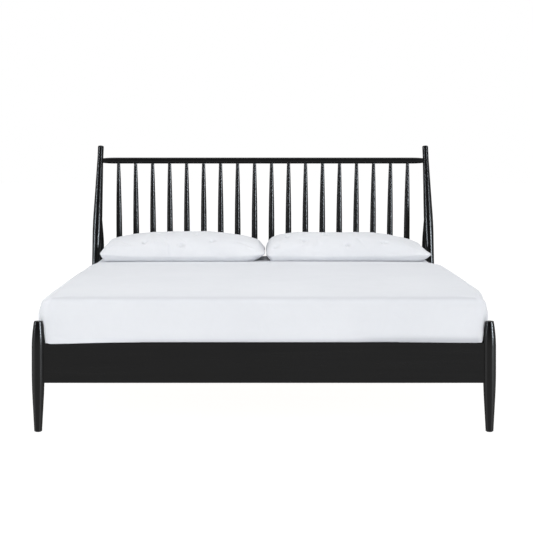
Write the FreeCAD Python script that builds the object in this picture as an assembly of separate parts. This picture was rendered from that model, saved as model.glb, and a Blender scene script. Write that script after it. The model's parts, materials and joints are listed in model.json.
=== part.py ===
import FreeCAD
import Part
import math
import os

# Spindle bed for a 1800 x 2000 mattress, in millimetres. +Z is up and the footboard faces -Y.
# While it is built, X is 0 on the bed's middle, Y is 0 on the front leg axes and Z is 0 on the floor.
# At the end everything moves along Y, to the middle of the bounding box.

# Clearances: FIT round each tenon, bolt and scribed joint, SEAT where one piece rests on another
FIT = 0.15
SEAT = 0.3

# Mattress and its cover. The frame is built round them.
MATTRESS_W = 1790.0
MATTRESS_L = 1995.0
MATTRESS_H = 235.0
MATTRESS_FRONT_Y = 22.0
MATTRESS_CORNER_R = 60.0
MATTRESS_EDGE_R = 25.0
COVER_T = 3.0
COVER_TOP_T = 4.7
COVER_FRONT_T = 10.0
COVER_HEM_Z = 322.0
COVER_EDGE_R = 45.0
COVER_CORNER_R = 70.0
COVER_ROLL_R = 14.0
DRAPE_OUT = 30.0
DRAPE_HEAD_GAP = 385.0
SIDE_CLEARANCE = 21.5
HEAD_CLEARANCE = 34.1

# Corners. All four lean outwards to the floor by the same splay.
LEG_SPLAY_DEG = 0.93
FOOT_R = 16.0
FOOT_TAPER_DEG = 3.02
BELLY_BLEND_R = 2300.0

# Front legs
FRONT_LEG_H = 463.0
FRONT_BELLY_R = 26.6
FRONT_SHOULDER_Z = 350.0
FRONT_SHOULDER_R = 665.0
TIP_ROUND = 4.0

# Rear legs. They lean back to the floor and their tops are scribed into the backs of the posts.
REAR_LEAN_DEG = 7.7
REAR_BELLY_R = 28.8
REAR_SHOULDER_Z = 610.0
REAR_SHOULDER_R = 1150.0
REAR_NECK_DEG = 4.0
REAR_TIP_GAP = 16.0
REAR_TENON_R = 8.0
REAR_TENON_PAST = 1.0

# Headboard posts: long sticks, thickest half way, raked back
POST_RAKE_DEG = 17.8
POST_BELLY_R = 25.9
POST_BELLY_Z = 735.0
POST_TAPER_DEG = 1.51
POST_BLEND_R = 2270.0
POST_END_R = 16.6
POST_UP_L = 458.0
POST_TENON_R = 7.0
POST_TENON_L = 60.0

# Headboard: top rail, spindles and lower rail share one upright plane
TOP_RAIL_Z = 1090.0
TOP_RAIL_R = 17.0
TOP_RAIL_END_R = 13.6
TOP_RAIL_TAPER_L = 60.0
TOP_RAIL_TENON_R = 7.0
TOP_RAIL_TENON_L = 9.0
SPINDLE_COUNT = 18
SPINDLE_END_GAP = 103.3
SPINDLE_BELLY_R = 16.9
SPINDLE_BELLY_Z = 634.0
SPINDLE_ARC_R = 12264.0
SPINDLE_TENON_R = 7.0
SPINDLE_TENON_L = 35.0

# Rails
RAIL_BOTTOM_Z = 206.0
RAIL_H = 169.0
RAIL_T = 25.0
RAIL_EDGE_R = 2.5
TENON_T = 12.0
TENON_BOTTOM_Z = 268.0
TENON_H = 85.0
TENON_STOP = 15.0
REAR_TENON_STOP = 8.0

# Corner brackets and their bolts
BRACKET_T = 3.0
BRACKET_REACH = 60.0
BRACKET_FLANGE = 36.0
BRACKET_H = 50.0
BRACKET_MITRE_DEG = 22.5
BRACKET_Z = 237.0
BRACKET_SCREW_DZ = 14.0
BOLT_R = 4.0
BOLT_GRIP = 9.0
BOLT_END = 3.5
NUT_SIDES = 6
NUT_AF = 13.0
NUT_H = 6.5
NUT_FLANGE_R = 8.9
NUT_FLANGE_T = 1.6

# Wood screws
SCREW_R = 2.0
SCREW_HEAD_R = 4.0
SCREW_HEAD_H = 2.0
BRACKET_SCREW_L = 18.0
SUPPORT_SCREW_L = 36.0
SCREW_HOLE_R = 2.3

# Mattress support
CLEAT_T = 24.0
CLEAT_H = 30.0
CLEAT_TOP_Z = 300.0
CLEAT_END_GAP = 20.0
CLEAT_SCREW_COUNT = 7
CLEAT_SCREW_INSET = 60.0
SLAT_COUNT = 11
SLAT_W = 115.0
SLAT_T = 18.0
SLAT_SIDE_GAP = 4.8
SLAT_EDGE_R = 3.0
SLAT_END_GAP = 17.5
BEAM_W = 45.0
BEAM_H = 60.0
HANGER_T = 3.0
HANGER_DEPTH = 45.0
HANGER_WING = 26.0
HANGER_SCREW_DZ = 18.0
CENTRE_LEG_HEAD_GAP = 390.0
CENTRE_LEG_PITCH = 520.0
CENTRE_LEG_R = 20.0
CENTRE_LEG_FOOT_R = 15.0
CENTRE_TENON_R = 9.0
CENTRE_TENON_L = 25.0

# Glides
GLIDE_R = 12.0
GLIDE_T = 3.0

# Pillows
PILLOW_L = 440.0
PILLOW_RISE = 106.0
PILLOW_SAG = 42.0
PILLOW_EDGE_H = 6.0
PILLOW_DRAW = 16.0
PILLOW_PARTING = 14.0
PILLOW_GAP = 8.0
PILLOW_LEG_GAP = 2.0
PILLOW_SPINDLE_GAP = 8.4
PILLOW_STATIONS = 9
PILLOW_POWER = 3.0

os.makedirs("parts", exist_ok=True)

SIDES = (("left", -1.0), ("right", 1.0))
UP = FreeCAD.Vector(0, 0, 1)
X_WAY = FreeCAD.Vector(1, 0, 0)
Y_WAY = FreeCAD.Vector(0, 1, 0)
FULL_TURN = 360.0
SPLAY = math.tan(math.radians(LEG_SPLAY_DEG))
RAKE = math.tan(math.radians(POST_RAKE_DEG))
LEAN = math.tan(math.radians(REAR_LEAN_DEG))

# Levels
RAIL_TOP_Z = RAIL_BOTTOM_Z + RAIL_H
RAIL_MID_Z = RAIL_BOTTOM_Z + RAIL_H / 2.0
# Where the axes of a rear leg and its post meet, up from the floor and along the leg
MEET_Z = (LEAN * RAIL_MID_Z + RAKE * TOP_RAIL_Z) / (LEAN + RAKE)
MEET_L = MEET_Z * math.sqrt(1.0 + SPLAY ** 2 + LEAN ** 2)
REAR_LEG_L = MEET_L - REAR_TIP_GAP
REAR_TENON_L = MEET_L + REAR_TENON_PAST
BEAM_BOTTOM_Z = CLEAT_TOP_Z - BEAM_H
SLAT_TOP_Z = CLEAT_TOP_Z + SLAT_T
MATTRESS_TOP_Z = SLAT_TOP_Z + MATTRESS_H
COVER_TOP_Z = MATTRESS_TOP_Z + COVER_TOP_T + SEAT
SEAM_Z = COVER_TOP_Z + SEAT + PILLOW_SAG

# The side rails stand clear of the tucked cover, and the leg axes meet them at mid height
COVER_W = MATTRESS_W + 2.0 * (COVER_T + SEAT)
INNER_X = COVER_W / 2.0 + SIDE_CLEARANCE
SIDE_RAIL_X = INNER_X + RAIL_T / 2.0
LEG_FOOT_X = SIDE_RAIL_X + SPLAY * RAIL_MID_Z

# The headboard's plane stands clear of the cover by the bellies of its spindles
MATTRESS_REAR_Y = MATTRESS_FRONT_Y + MATTRESS_L
COVER_REAR_Y = MATTRESS_REAR_Y + COVER_T + SEAT
PANEL_Y = COVER_REAR_Y + HEAD_CLEARANCE + SPINDLE_BELLY_R
FRONT_FACE_Y = RAIL_T / 2.0
REAR_FACE_Y = PANEL_Y - RAIL_T / 2.0
REAR_FOOT_Y = PANEL_Y + LEAN * RAIL_MID_Z
CENTRE_LEG_REAR_Y = PANEL_Y - CENTRE_LEG_HEAD_GAP
CENTRE_LEG_FRONT_Y = CENTRE_LEG_REAR_Y - CENTRE_LEG_PITCH
LEG_REACH = REAR_BELLY_R + RAIL_T


def corner_x(z):
    return LEG_FOOT_X - SPLAY * z


def post_y(z):
    return PANEL_Y + RAKE * (z - TOP_RAIL_Z)


def box(x0, x1, y0, y1, z0, z1):
    corner = FreeCAD.Vector(min(x0, x1), y0, z0)
    return Part.makeBox(abs(x1 - x0), y1 - y0, z1 - z0, corner)


def rod(radius, start, end):
    way = end.sub(start)
    return Part.makeCylinder(radius, way.Length, start, way)


def fused(shapes):
    return shapes[0].fuse(shapes[1:]).removeSplitter()


def lathe(start, steps):
    # start is (radius, height); each step is ("line", r, z) or ("arc", mid r, mid z, r, z)
    edges = []
    here = FreeCAD.Vector(start[0], 0, start[1])
    base = FreeCAD.Vector(0, 0, start[1])
    edges.append(Part.makeLine(base, here))
    for step in steps:
        there = FreeCAD.Vector(step[-2], 0, step[-1])
        if step[0] == "arc":
            middle = FreeCAD.Vector(step[1], 0, step[2])
            edges.append(Part.Arc(here, middle, there).toShape())
        else:
            edges.append(Part.makeLine(here, there))
        here = there
    tip = FreeCAD.Vector(0, 0, here.z)
    if here.x > 0:
        edges.append(Part.makeLine(here, tip))
    edges.append(Part.makeLine(tip, base))
    face = Part.Face(Part.Wire(edges))
    return face.revolve(FreeCAD.Vector(0, 0, 0), UP, FULL_TURN)


def belly_arc(belly_r, belly_z, blend_r, angle_from, angle_to):
    # an arc step of the lathe about a belly: the angle is 0 at the belly and positive above it
    points = []
    for angle in ((angle_from + angle_to) / 2.0, angle_to):
        turn = math.radians(angle)
        points.append(belly_r - blend_r * (1.0 - math.cos(turn)))
        points.append(belly_z + blend_r * math.sin(turn))
    return ("arc", points[0], points[1], points[2], points[3])


def foot_and_belly(belly_r):
    # straight taper from the foot, then an arc into the belly; runs on below the floor to be trimmed
    slope = math.tan(math.radians(FOOT_TAPER_DEG))
    turn = math.radians(FOOT_TAPER_DEG)
    taper_r = belly_r - BELLY_BLEND_R * (1.0 - math.cos(turn))
    taper_z = (taper_r - FOOT_R) / slope
    belly_z = taper_z + BELLY_BLEND_R * math.sin(turn)
    start = (FOOT_R - slope * FOOT_R, -FOOT_R)
    steps = [("line", taper_r, taper_z)]
    steps.append(belly_arc(belly_r, belly_z, BELLY_BLEND_R, -FOOT_TAPER_DEG, 0.0))
    return start, steps


def rounded_tip(steps, radius, height):
    # quarter round at the end of a stick
    bend = TIP_ROUND * (1.0 - math.sqrt(0.5))
    steps.append(("arc", radius - bend, height - bend, radius - TIP_ROUND, height))
    return steps


def leaned(shape, base, slope_x, slope_y):
    # stands a stick that was turned about Z on base, along (slope_x, slope_y, 1)
    shape.Placement = FreeCAD.Placement(base, FreeCAD.Rotation(UP, FreeCAD.Vector(slope_x, slope_y, 1)))
    return shape


def front_leg_blank(side, grow):
    start, steps = foot_and_belly(FRONT_BELLY_R + grow)
    steps.append(("line", FRONT_BELLY_R + grow, FRONT_SHOULDER_Z))
    rise = FRONT_LEG_H - TIP_ROUND - FRONT_SHOULDER_Z
    angle = math.degrees(math.asin(rise / FRONT_SHOULDER_R))
    steps.append(belly_arc(FRONT_BELLY_R + grow, FRONT_SHOULDER_Z, FRONT_SHOULDER_R, 0.0, angle))
    rounded_tip(steps, steps[-1][-2], FRONT_LEG_H)
    blank = lathe(start, steps)
    return leaned(blank, FreeCAD.Vector(side * LEG_FOOT_X, 0, 0), -side * SPLAY, 0)


def rear_leg_blank(side, grow):
    start, steps = foot_and_belly(REAR_BELLY_R + grow)
    steps.append(("line", REAR_BELLY_R + grow, REAR_SHOULDER_Z))
    steps.append(belly_arc(REAR_BELLY_R + grow, REAR_SHOULDER_Z, REAR_SHOULDER_R, 0.0, REAR_NECK_DEG))
    neck_r = steps[-1][-2]
    neck_z = steps[-1][-1]
    tip_r = neck_r - (REAR_LEG_L - neck_z) * math.tan(math.radians(REAR_NECK_DEG))
    steps.append(("line", tip_r, REAR_LEG_L))
    blank = lathe(start, steps)
    return leaned(blank, FreeCAD.Vector(side * LEG_FOOT_X, REAR_FOOT_Y, 0), -side * SPLAY, -LEAN)


def post_blank(side, grow):
    # double taper about the belly, with parallel ends
    slope = math.tan(math.radians(POST_TAPER_DEG))
    belly = POST_BELLY_R + grow
    edge_r = belly - POST_BLEND_R * (1.0 - math.cos(math.radians(POST_TAPER_DEG)))
    edge_l = POST_BLEND_R * math.sin(math.radians(POST_TAPER_DEG))
    end_l = edge_l + (edge_r - POST_END_R - grow) / slope
    start = (POST_END_R + grow, -POST_UP_L)
    steps = [("line", POST_END_R + grow, -end_l)]
    steps.append(("line", edge_r, -edge_l))
    steps.append(belly_arc(belly, 0.0, POST_BLEND_R, -POST_TAPER_DEG, POST_TAPER_DEG))
    steps.append(("line", POST_END_R + grow, end_l))
    steps.append(("line", POST_END_R + grow, POST_UP_L - TIP_ROUND))
    rounded_tip(steps, POST_END_R + grow, POST_UP_L)
    base = FreeCAD.Vector(side * corner_x(POST_BELLY_Z), post_y(POST_BELLY_Z), POST_BELLY_Z)
    return leaned(lathe(start, steps), base, -side * SPLAY, RAKE)


def post_point(side, along):
    # point on a post's axis, measured up from the level of the rails' top edge
    way = FreeCAD.Vector(-side * SPLAY, RAKE, 1)
    way.normalize()
    foot = FreeCAD.Vector(side * corner_x(RAIL_TOP_Z), post_y(RAIL_TOP_Z), RAIL_TOP_Z)
    return foot.add(way.multiply(along))


def post_tenon(side, grow):
    return rod(POST_TENON_R + grow, post_point(side, -POST_TENON_L - grow), post_point(side, POST_END_R))


def rear_tenon(side, grow):
    stick = Part.makeCylinder(REAR_TENON_R + grow, REAR_TENON_L + grow - REAR_SHOULDER_Z,
                              FreeCAD.Vector(0, 0, REAR_SHOULDER_Z), UP)
    return leaned(stick, FreeCAD.Vector(side * LEG_FOOT_X, REAR_FOOT_Y, 0), -side * SPLAY, -LEAN)


def top_rail_tenon(side, grow):
    face_x = corner_x(TOP_RAIL_Z) - POST_END_R
    start = FreeCAD.Vector(side * (face_x - TOP_RAIL_TAPER_L), PANEL_Y, TOP_RAIL_Z)
    end = FreeCAD.Vector(side * (face_x + TOP_RAIL_TENON_L + grow), PANEL_Y, TOP_RAIL_Z)
    return rod(TOP_RAIL_TENON_R + grow, start, end)


def cross_tenon(side, y, grow):
    # stub tenon of a cross rail, along X into a leg
    stop = side * (corner_x(RAIL_MID_Z) - TENON_STOP + grow)
    start = side * (corner_x(RAIL_MID_Z) - LEG_REACH)
    half = TENON_T / 2.0 + grow
    return box(start, stop, y - half, y + half, TENON_BOTTOM_Z - grow, TENON_BOTTOM_Z + TENON_H + grow)


def side_tenons(side, grow):
    # stub tenons of a side rail, along Y into a front and a rear leg
    half = TENON_T / 2.0 + grow
    x0 = side * SIDE_RAIL_X - half
    x1 = side * SIDE_RAIL_X + half
    low = TENON_BOTTOM_Z - grow
    high = TENON_BOTTOM_Z + TENON_H + grow
    front = box(x0, x1, TENON_STOP - grow, LEG_REACH, low, high)
    rear = box(x0, x1, PANEL_Y - LEG_REACH, PANEL_Y - REAR_TENON_STOP + grow, low, high)
    return front, rear


def board(x0, x1, y0, y1, along):
    # rail on edge, its four long edges eased
    blank = box(x0, x1, y0, y1, RAIL_BOTTOM_Z, RAIL_TOP_Z)
    long_edges = []
    for edge in blank.Edges:
        way = edge.Vertexes[1].Point.sub(edge.Vertexes[0].Point)
        if way.Length > RAIL_H and abs(way.dot(along)) > RAIL_H:
            long_edges.append(edge)
    return blank.makeFillet(RAIL_EDGE_R, long_edges)


parts = {}
cuts = {}
screws = {"bracket_screws": [], "support_screws": []}


def bore(node, tool):
    cuts.setdefault(node, []).append(tool)


def add_screw(group, head, way, length, through, into):
    # a wood screw under its head's seat at head: a clear hole through one piece, a snug one in the next
    way.normalize()
    tip = FreeCAD.Vector(way).multiply(length).add(head)
    crown = FreeCAD.Vector(way).multiply(-SCREW_HEAD_H).add(head)
    screws[group].append(fused([rod(SCREW_R, head, tip), rod(SCREW_HEAD_R, crown, head)]))
    over = FreeCAD.Vector(way).multiply(FIT).add(tip)
    bore(through, rod(SCREW_HOLE_R, head, over))
    bore(into, rod(SCREW_R + FIT, head, over))


# Footboard rail and the headboard's lower rail, from leg axis to leg axis and scribed to the legs
rail_half = corner_x(RAIL_MID_Z) - TENON_STOP / 2.0
for name, rail_y, blank_of in (("footboard_rail", 0.0, front_leg_blank),
                               ("headboard_lower_rail", PANEL_Y, rear_leg_blank)):
    half_t = RAIL_T / 2.0
    rail = board(-rail_half, rail_half, rail_y - half_t, rail_y + half_t, X_WAY)
    for side_name, side in SIDES:
        rail = rail.cut(blank_of(side, FIT))
    rail = fused([rail] + [cross_tenon(side, rail_y, 0.0) for side_name, side in SIDES])
    parts[name] = rail

# Side rails
for side_name, side in SIDES:
    half_t = RAIL_T / 2.0
    x0 = side * SIDE_RAIL_X - half_t
    rail = board(x0, x0 + RAIL_T, 0.0, REAR_FACE_Y - FIT, Y_WAY)
    rail = rail.cut([front_leg_blank(side, FIT), rear_leg_blank(side, FIT)])
    rail = fused([rail] + list(side_tenons(side, 0.0)))
    parts["side_rail_" + side_name] = rail
    bore("side_rail_" + side_name, post_tenon(side, FIT))

# Legs and posts
below_feet = box(-2.0 * LEG_FOOT_X, 2.0 * LEG_FOOT_X, -PANEL_Y, 2.0 * PANEL_Y, -RAIL_H, GLIDE_T)
below_rails = box(-2.0 * LEG_FOOT_X, 2.0 * LEG_FOOT_X, -PANEL_Y, 2.0 * PANEL_Y, -RAIL_H, RAIL_TOP_Z)
for side_name, side in SIDES:
    front_mortise, rear_mortise = side_tenons(side, FIT)
    leg = front_leg_blank(side, 0.0).cut([below_feet, front_mortise, cross_tenon(side, 0.0, FIT)])
    parts["front_leg_" + side_name] = leg

    leg = rear_leg_blank(side, 0.0).cut([below_feet, rear_mortise, cross_tenon(side, PANEL_Y, FIT)])
    leg = fused([leg.cut(post_blank(side, FIT)), rear_tenon(side, 0.0)])
    parts["rear_leg_" + side_name] = leg

    post = post_blank(side, 0.0).cut([below_rails, rear_tenon(side, FIT), top_rail_tenon(side, FIT)])
    parts["headboard_post_" + side_name] = fused([post, post_tenon(side, 0.0)])

# Top rail: a long stick with a short rounded taper at each end, scribed to the posts
rail_end = corner_x(TOP_RAIL_Z)
taper_start = rail_end - POST_END_R - TOP_RAIL_TAPER_L
taper_drop = TOP_RAIL_R - TOP_RAIL_END_R
taper_arc_r = (TOP_RAIL_TAPER_L ** 2 + taper_drop ** 2) / (2.0 * taper_drop)
end_angle = math.degrees(math.asin(TOP_RAIL_TAPER_L / taper_arc_r))
low_arc = belly_arc(TOP_RAIL_R, -taper_start, taper_arc_r, -end_angle, 0.0)
high_arc = belly_arc(TOP_RAIL_R, taper_start, taper_arc_r, 0.0, end_angle)
rail_steps = [("line", TOP_RAIL_END_R, POST_END_R - rail_end), low_arc]
rail_steps += [("line", TOP_RAIL_R, taper_start), high_arc, ("line", TOP_RAIL_END_R, rail_end)]
top_rail = lathe((TOP_RAIL_END_R, -rail_end), rail_steps)
turn = FreeCAD.Rotation(UP, X_WAY)
top_rail.Placement = FreeCAD.Placement(FreeCAD.Vector(0, PANEL_Y, TOP_RAIL_Z), turn)
top_rail = top_rail.cut([post_blank(side, FIT) for side_name, side in SIDES])
top_rail = fused([top_rail] + [top_rail_tenon(side, 0.0) for side_name, side in SIDES])
parts["headboard_top_rail"] = top_rail

def spindle_angle(z):
    return math.degrees(math.asin((z - SPINDLE_BELLY_Z) / SPINDLE_ARC_R))


def spindle_r(z):
    return SPINDLE_BELLY_R - SPINDLE_ARC_R * (1.0 - math.cos(math.radians(spindle_angle(z))))


# Spindles: one long arc from the top rail to the lower rail, with a round tenon at the foot
foot_z = RAIL_TOP_Z - SPINDLE_TENON_L
bottom_angle = spindle_angle(RAIL_TOP_Z)
top_angle = spindle_angle(TOP_RAIL_Z - SEAT)
neck_z = TOP_RAIL_Z - TOP_RAIL_R
spindle_span = 2.0 * (corner_x(TOP_RAIL_Z) - SPINDLE_END_GAP)
for index in range(SPINDLE_COUNT):
    spindle_x = spindle_span * (index / (SPINDLE_COUNT - 1.0) - 1.0 / 2.0)
    arc = belly_arc(SPINDLE_BELLY_R, SPINDLE_BELLY_Z, SPINDLE_ARC_R, bottom_angle, top_angle)
    steps = [("line", SPINDLE_TENON_R, RAIL_TOP_Z), ("line", spindle_r(RAIL_TOP_Z), RAIL_TOP_Z), arc]
    spindle = lathe((SPINDLE_TENON_R, foot_z), steps)
    spindle.translate(FreeCAD.Vector(spindle_x, PANEL_Y, 0))
    parts["spindle_%02d" % (index + 1)] = spindle
    tenon_low = FreeCAD.Vector(spindle_x, PANEL_Y, foot_z - FIT)
    tenon_top = FreeCAD.Vector(spindle_x, PANEL_Y, RAIL_TOP_Z)
    bore("headboard_lower_rail", rod(SPINDLE_TENON_R + FIT, tenon_low, tenon_top))
    socket_low = FreeCAD.Vector(spindle_x, PANEL_Y, neck_z)
    socket_top = FreeCAD.Vector(spindle_x, PANEL_Y, TOP_RAIL_Z)
    bore("headboard_top_rail", rod(spindle_r(neck_z) + FIT, socket_low, socket_top))

# Corner brackets: a web across each corner and a flange along each rail, drawn from the corner inwards
parts["bracket_bolts"] = []
parts["flange_nuts"] = []
for end_name, face_y, inward in (("front", FRONT_FACE_Y, 1.0), ("rear", REAR_FACE_Y, -1.0)):
    for side_name, side in SIDES:
        near = BRACKET_REACH
        far = BRACKET_REACH + BRACKET_FLANGE
        bend = BRACKET_REACH + BRACKET_T * math.tan(math.radians(BRACKET_MITRE_DEG))
        outline = [(far, 0), (near, 0), (0, near), (0, far), (BRACKET_T, far), (BRACKET_T, bend),
                   (bend, BRACKET_T), (far, BRACKET_T), (far, 0)]
        low_z = BRACKET_Z - BRACKET_H / 2.0
        points = []
        for across, along in outline:
            points.append(FreeCAD.Vector(side * (INNER_X - across), face_y + inward * along, low_z))
        bracket = Part.Face(Part.makePolygon(points)).extrude(FreeCAD.Vector(0, 0, BRACKET_H))
        name = "corner_bracket_%s_%s" % (end_name, side_name)
        parts[name] = bracket
        corner = FreeCAD.Vector(side * INNER_X, face_y, BRACKET_Z)
        inwards = FreeCAD.Vector(-side, inward, 0)
        inwards.normalize()
        web = BRACKET_REACH * math.sqrt(0.5) + BRACKET_T

        def diagonal(distance):
            return FreeCAD.Vector(inwards).multiply(distance).add(corner)

        leg_name = "%s_leg_%s" % (end_name, side_name)
        cross_name = "footboard_rail" if end_name == "front" else "headboard_lower_rail"
        nut_end = web + NUT_H
        bolt = rod(BOLT_R, diagonal(-BOLT_GRIP), diagonal(nut_end + BOLT_END))
        parts["bracket_bolts"].append(bolt)
        bolt_hole = rod(BOLT_R + FIT, diagonal(-BOLT_GRIP - FIT), diagonal(nut_end + BOLT_END))
        for node in (leg_name, cross_name, "side_rail_" + side_name, name):
            bore(node, bolt_hole)
        hexagon = []
        reach = NUT_AF / 2.0 / math.cos(math.pi / NUT_SIDES)
        for step in range(NUT_SIDES + 1):
            nut_turn = 2.0 * math.pi * step / NUT_SIDES
            hexagon.append(FreeCAD.Vector(reach * math.cos(nut_turn), reach * math.sin(nut_turn), 0))
        nut = Part.Face(Part.makePolygon(hexagon)).extrude(FreeCAD.Vector(0, 0, NUT_H))
        nut = fused([nut, Part.makeCylinder(NUT_FLANGE_R, NUT_FLANGE_T)])
        nut = nut.cut(Part.makeCylinder(BOLT_R + FIT, NUT_H))
        nut.Placement = FreeCAD.Placement(diagonal(web), FreeCAD.Rotation(UP, inwards))
        parts["flange_nuts"].append(nut)
        for level in (-BRACKET_SCREW_DZ, BRACKET_SCREW_DZ):
            middle = BRACKET_REACH + BRACKET_FLANGE / 2.0
            z = BRACKET_Z + level
            head = FreeCAD.Vector(side * (INNER_X - middle), face_y + inward * BRACKET_T, z)
            way = FreeCAD.Vector(0, -inward, 0)
            add_screw("bracket_screws", head, way, BRACKET_SCREW_L, name, cross_name)
            head = FreeCAD.Vector(side * (INNER_X - BRACKET_T), face_y + inward * middle, z)
            way = FreeCAD.Vector(side, 0, 0)
            add_screw("bracket_screws", head, way, BRACKET_SCREW_L, name, "side_rail_" + side_name)

# Cleats along the side rails
cleat_y0 = FRONT_FACE_Y + CLEAT_END_GAP
cleat_y1 = REAR_FACE_Y - CLEAT_END_GAP
screw_run = cleat_y1 - cleat_y0 - 2.0 * CLEAT_SCREW_INSET
for side_name, side in SIDES:
    name = "cleat_" + side_name
    inner = side * (INNER_X - CLEAT_T)
    parts[name] = box(side * INNER_X, inner, cleat_y0, cleat_y1, CLEAT_TOP_Z - CLEAT_H, CLEAT_TOP_Z)
    for index in range(CLEAT_SCREW_COUNT):
        y = cleat_y0 + CLEAT_SCREW_INSET + screw_run * index / (CLEAT_SCREW_COUNT - 1.0)
        head = FreeCAD.Vector(inner, y, CLEAT_TOP_Z - CLEAT_H / 2.0)
        way = FreeCAD.Vector(side, 0, 0)
        add_screw("support_screws", head, way, SUPPORT_SCREW_L, name, "side_rail_" + side_name)

# Slats on the cleats and the centre beam
slat_y0 = FRONT_FACE_Y + SLAT_END_GAP
slat_y1 = REAR_FACE_Y - SLAT_END_GAP - SLAT_W
slat_half = INNER_X - SLAT_SIDE_GAP
for index in range(SLAT_COUNT):
    y = slat_y0 + (slat_y1 - slat_y0) * index / (SLAT_COUNT - 1.0)
    slat = box(-slat_half, slat_half, y, y + SLAT_W, CLEAT_TOP_Z, SLAT_TOP_Z)
    name = "slat_%02d" % (index + 1)
    top_edges = []
    for edge in slat.Edges:
        ends = edge.Vertexes[0].Point.sub(edge.Vertexes[1].Point)
        if abs(ends.x) > SLAT_W and edge.Vertexes[0].Point.z > CLEAT_TOP_Z + SLAT_T / 2.0:
            top_edges.append(edge)
    parts[name] = slat.makeFillet(SLAT_EDGE_R, top_edges)
    for side_name, side in SIDES:
        # the head is let in flush with the slat's top
        x = side * (INNER_X - CLEAT_T / 2.0)
        head = FreeCAD.Vector(x, y + SLAT_W / 2.0, SLAT_TOP_Z - SCREW_HEAD_H)
        way = FreeCAD.Vector(0, 0, -1)
        add_screw("support_screws", head, way, SUPPORT_SCREW_L, name, "cleat_" + side_name)
        top = FreeCAD.Vector(head.x, head.y, SLAT_TOP_Z)
        bore(name, rod(SCREW_HEAD_R + FIT, head, top))

# Centre beam in two steel hangers
half_beam = BEAM_W / 2.0
for name, face_y, inward in (("beam_hanger_front", FRONT_FACE_Y, 1.0),
                             ("beam_hanger_rear", REAR_FACE_Y, -1.0)):
    outer = half_beam + HANGER_T
    wing = outer + HANGER_WING
    low = BEAM_BOTTOM_Z - HANGER_T
    ys = sorted((face_y, face_y + inward * HANGER_T))
    reach = sorted((face_y, face_y + inward * HANGER_DEPTH))
    back = box(-wing, wing, ys[0], ys[1], low, CLEAT_TOP_Z)
    shelf = box(-outer, outer, reach[0], reach[1], low, BEAM_BOTTOM_Z)
    cheeks = [box(-outer, -half_beam, reach[0], reach[1], low, CLEAT_TOP_Z),
              box(half_beam, outer, reach[0], reach[1], low, CLEAT_TOP_Z)]
    parts[name] = fused([back, shelf] + cheeks)
    rail_name = "footboard_rail" if inward > 0 else "headboard_lower_rail"
    for side_name, side in SIDES:
        for level in (-HANGER_SCREW_DZ, HANGER_SCREW_DZ):
            head = FreeCAD.Vector(side * (outer + HANGER_WING / 2.0), face_y + inward * HANGER_T,
                                  CLEAT_TOP_Z - BEAM_H / 2.0 + level)
            add_screw("bracket_screws", head, FreeCAD.Vector(0, -inward, 0), BRACKET_SCREW_L, name, rail_name)
beam_y0 = FRONT_FACE_Y + HANGER_T + SEAT
beam_y1 = REAR_FACE_Y - HANGER_T - SEAT
beam_half = half_beam - FIT
parts["centre_beam"] = box(-beam_half, beam_half, beam_y0, beam_y1, BEAM_BOTTOM_Z, CLEAT_TOP_Z)

# Centre legs, tapered, with a round tenon up into the beam
for name, y in (("centre_leg_front", CENTRE_LEG_FRONT_Y), ("centre_leg_rear", CENTRE_LEG_REAR_Y)):
    steps = [("line", CENTRE_LEG_R, BEAM_BOTTOM_Z), ("line", CENTRE_TENON_R, BEAM_BOTTOM_Z),
             ("line", CENTRE_TENON_R, BEAM_BOTTOM_Z + CENTRE_TENON_L)]
    leg = lathe((CENTRE_LEG_FOOT_R, GLIDE_T), steps)
    leg.translate(FreeCAD.Vector(0, y, 0))
    parts[name] = leg
    socket_low = FreeCAD.Vector(0, y, BEAM_BOTTOM_Z)
    socket_top = FreeCAD.Vector(0, y, BEAM_BOTTOM_Z + CENTRE_TENON_L + SEAT)
    bore("centre_beam", rod(CENTRE_TENON_R + FIT, socket_low, socket_top))

# Glides under the six feet
glides = []
for foot_y in (0.0, REAR_FOOT_Y):
    for side_name, side in SIDES:
        glides.append(Part.makeCylinder(GLIDE_R, GLIDE_T, FreeCAD.Vector(side * LEG_FOOT_X, foot_y, 0)))
for foot_y in (CENTRE_LEG_FRONT_Y, CENTRE_LEG_REAR_Y):
    glides.append(Part.makeCylinder(GLIDE_R, GLIDE_T, FreeCAD.Vector(0, foot_y, 0)))
parts["foot_glides"] = glides


def upright_block(width, y0, y1, z0, z1, corner_r, top_r, bottom_r):
    # block with rounded upright corners, then rounded top and bottom edges
    block = box(-width / 2.0, width / 2.0, y0, y1, z0, z1)
    upright = [edge for edge in block.Edges if abs(edge.Vertexes[0].Z - edge.Vertexes[1].Z) > SEAT]
    block = block.makeFillet(corner_r, upright)
    for level, radius in ((z1, top_r), (z0, bottom_r)):
        rim = []
        for edge in block.Edges:
            if edge.BoundBox.ZMax - edge.BoundBox.ZMin < SEAT and abs(edge.BoundBox.ZMin - level) < SEAT:
                rim.append(edge)
        block = block.makeFillet(radius, rim)
    return block


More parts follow.
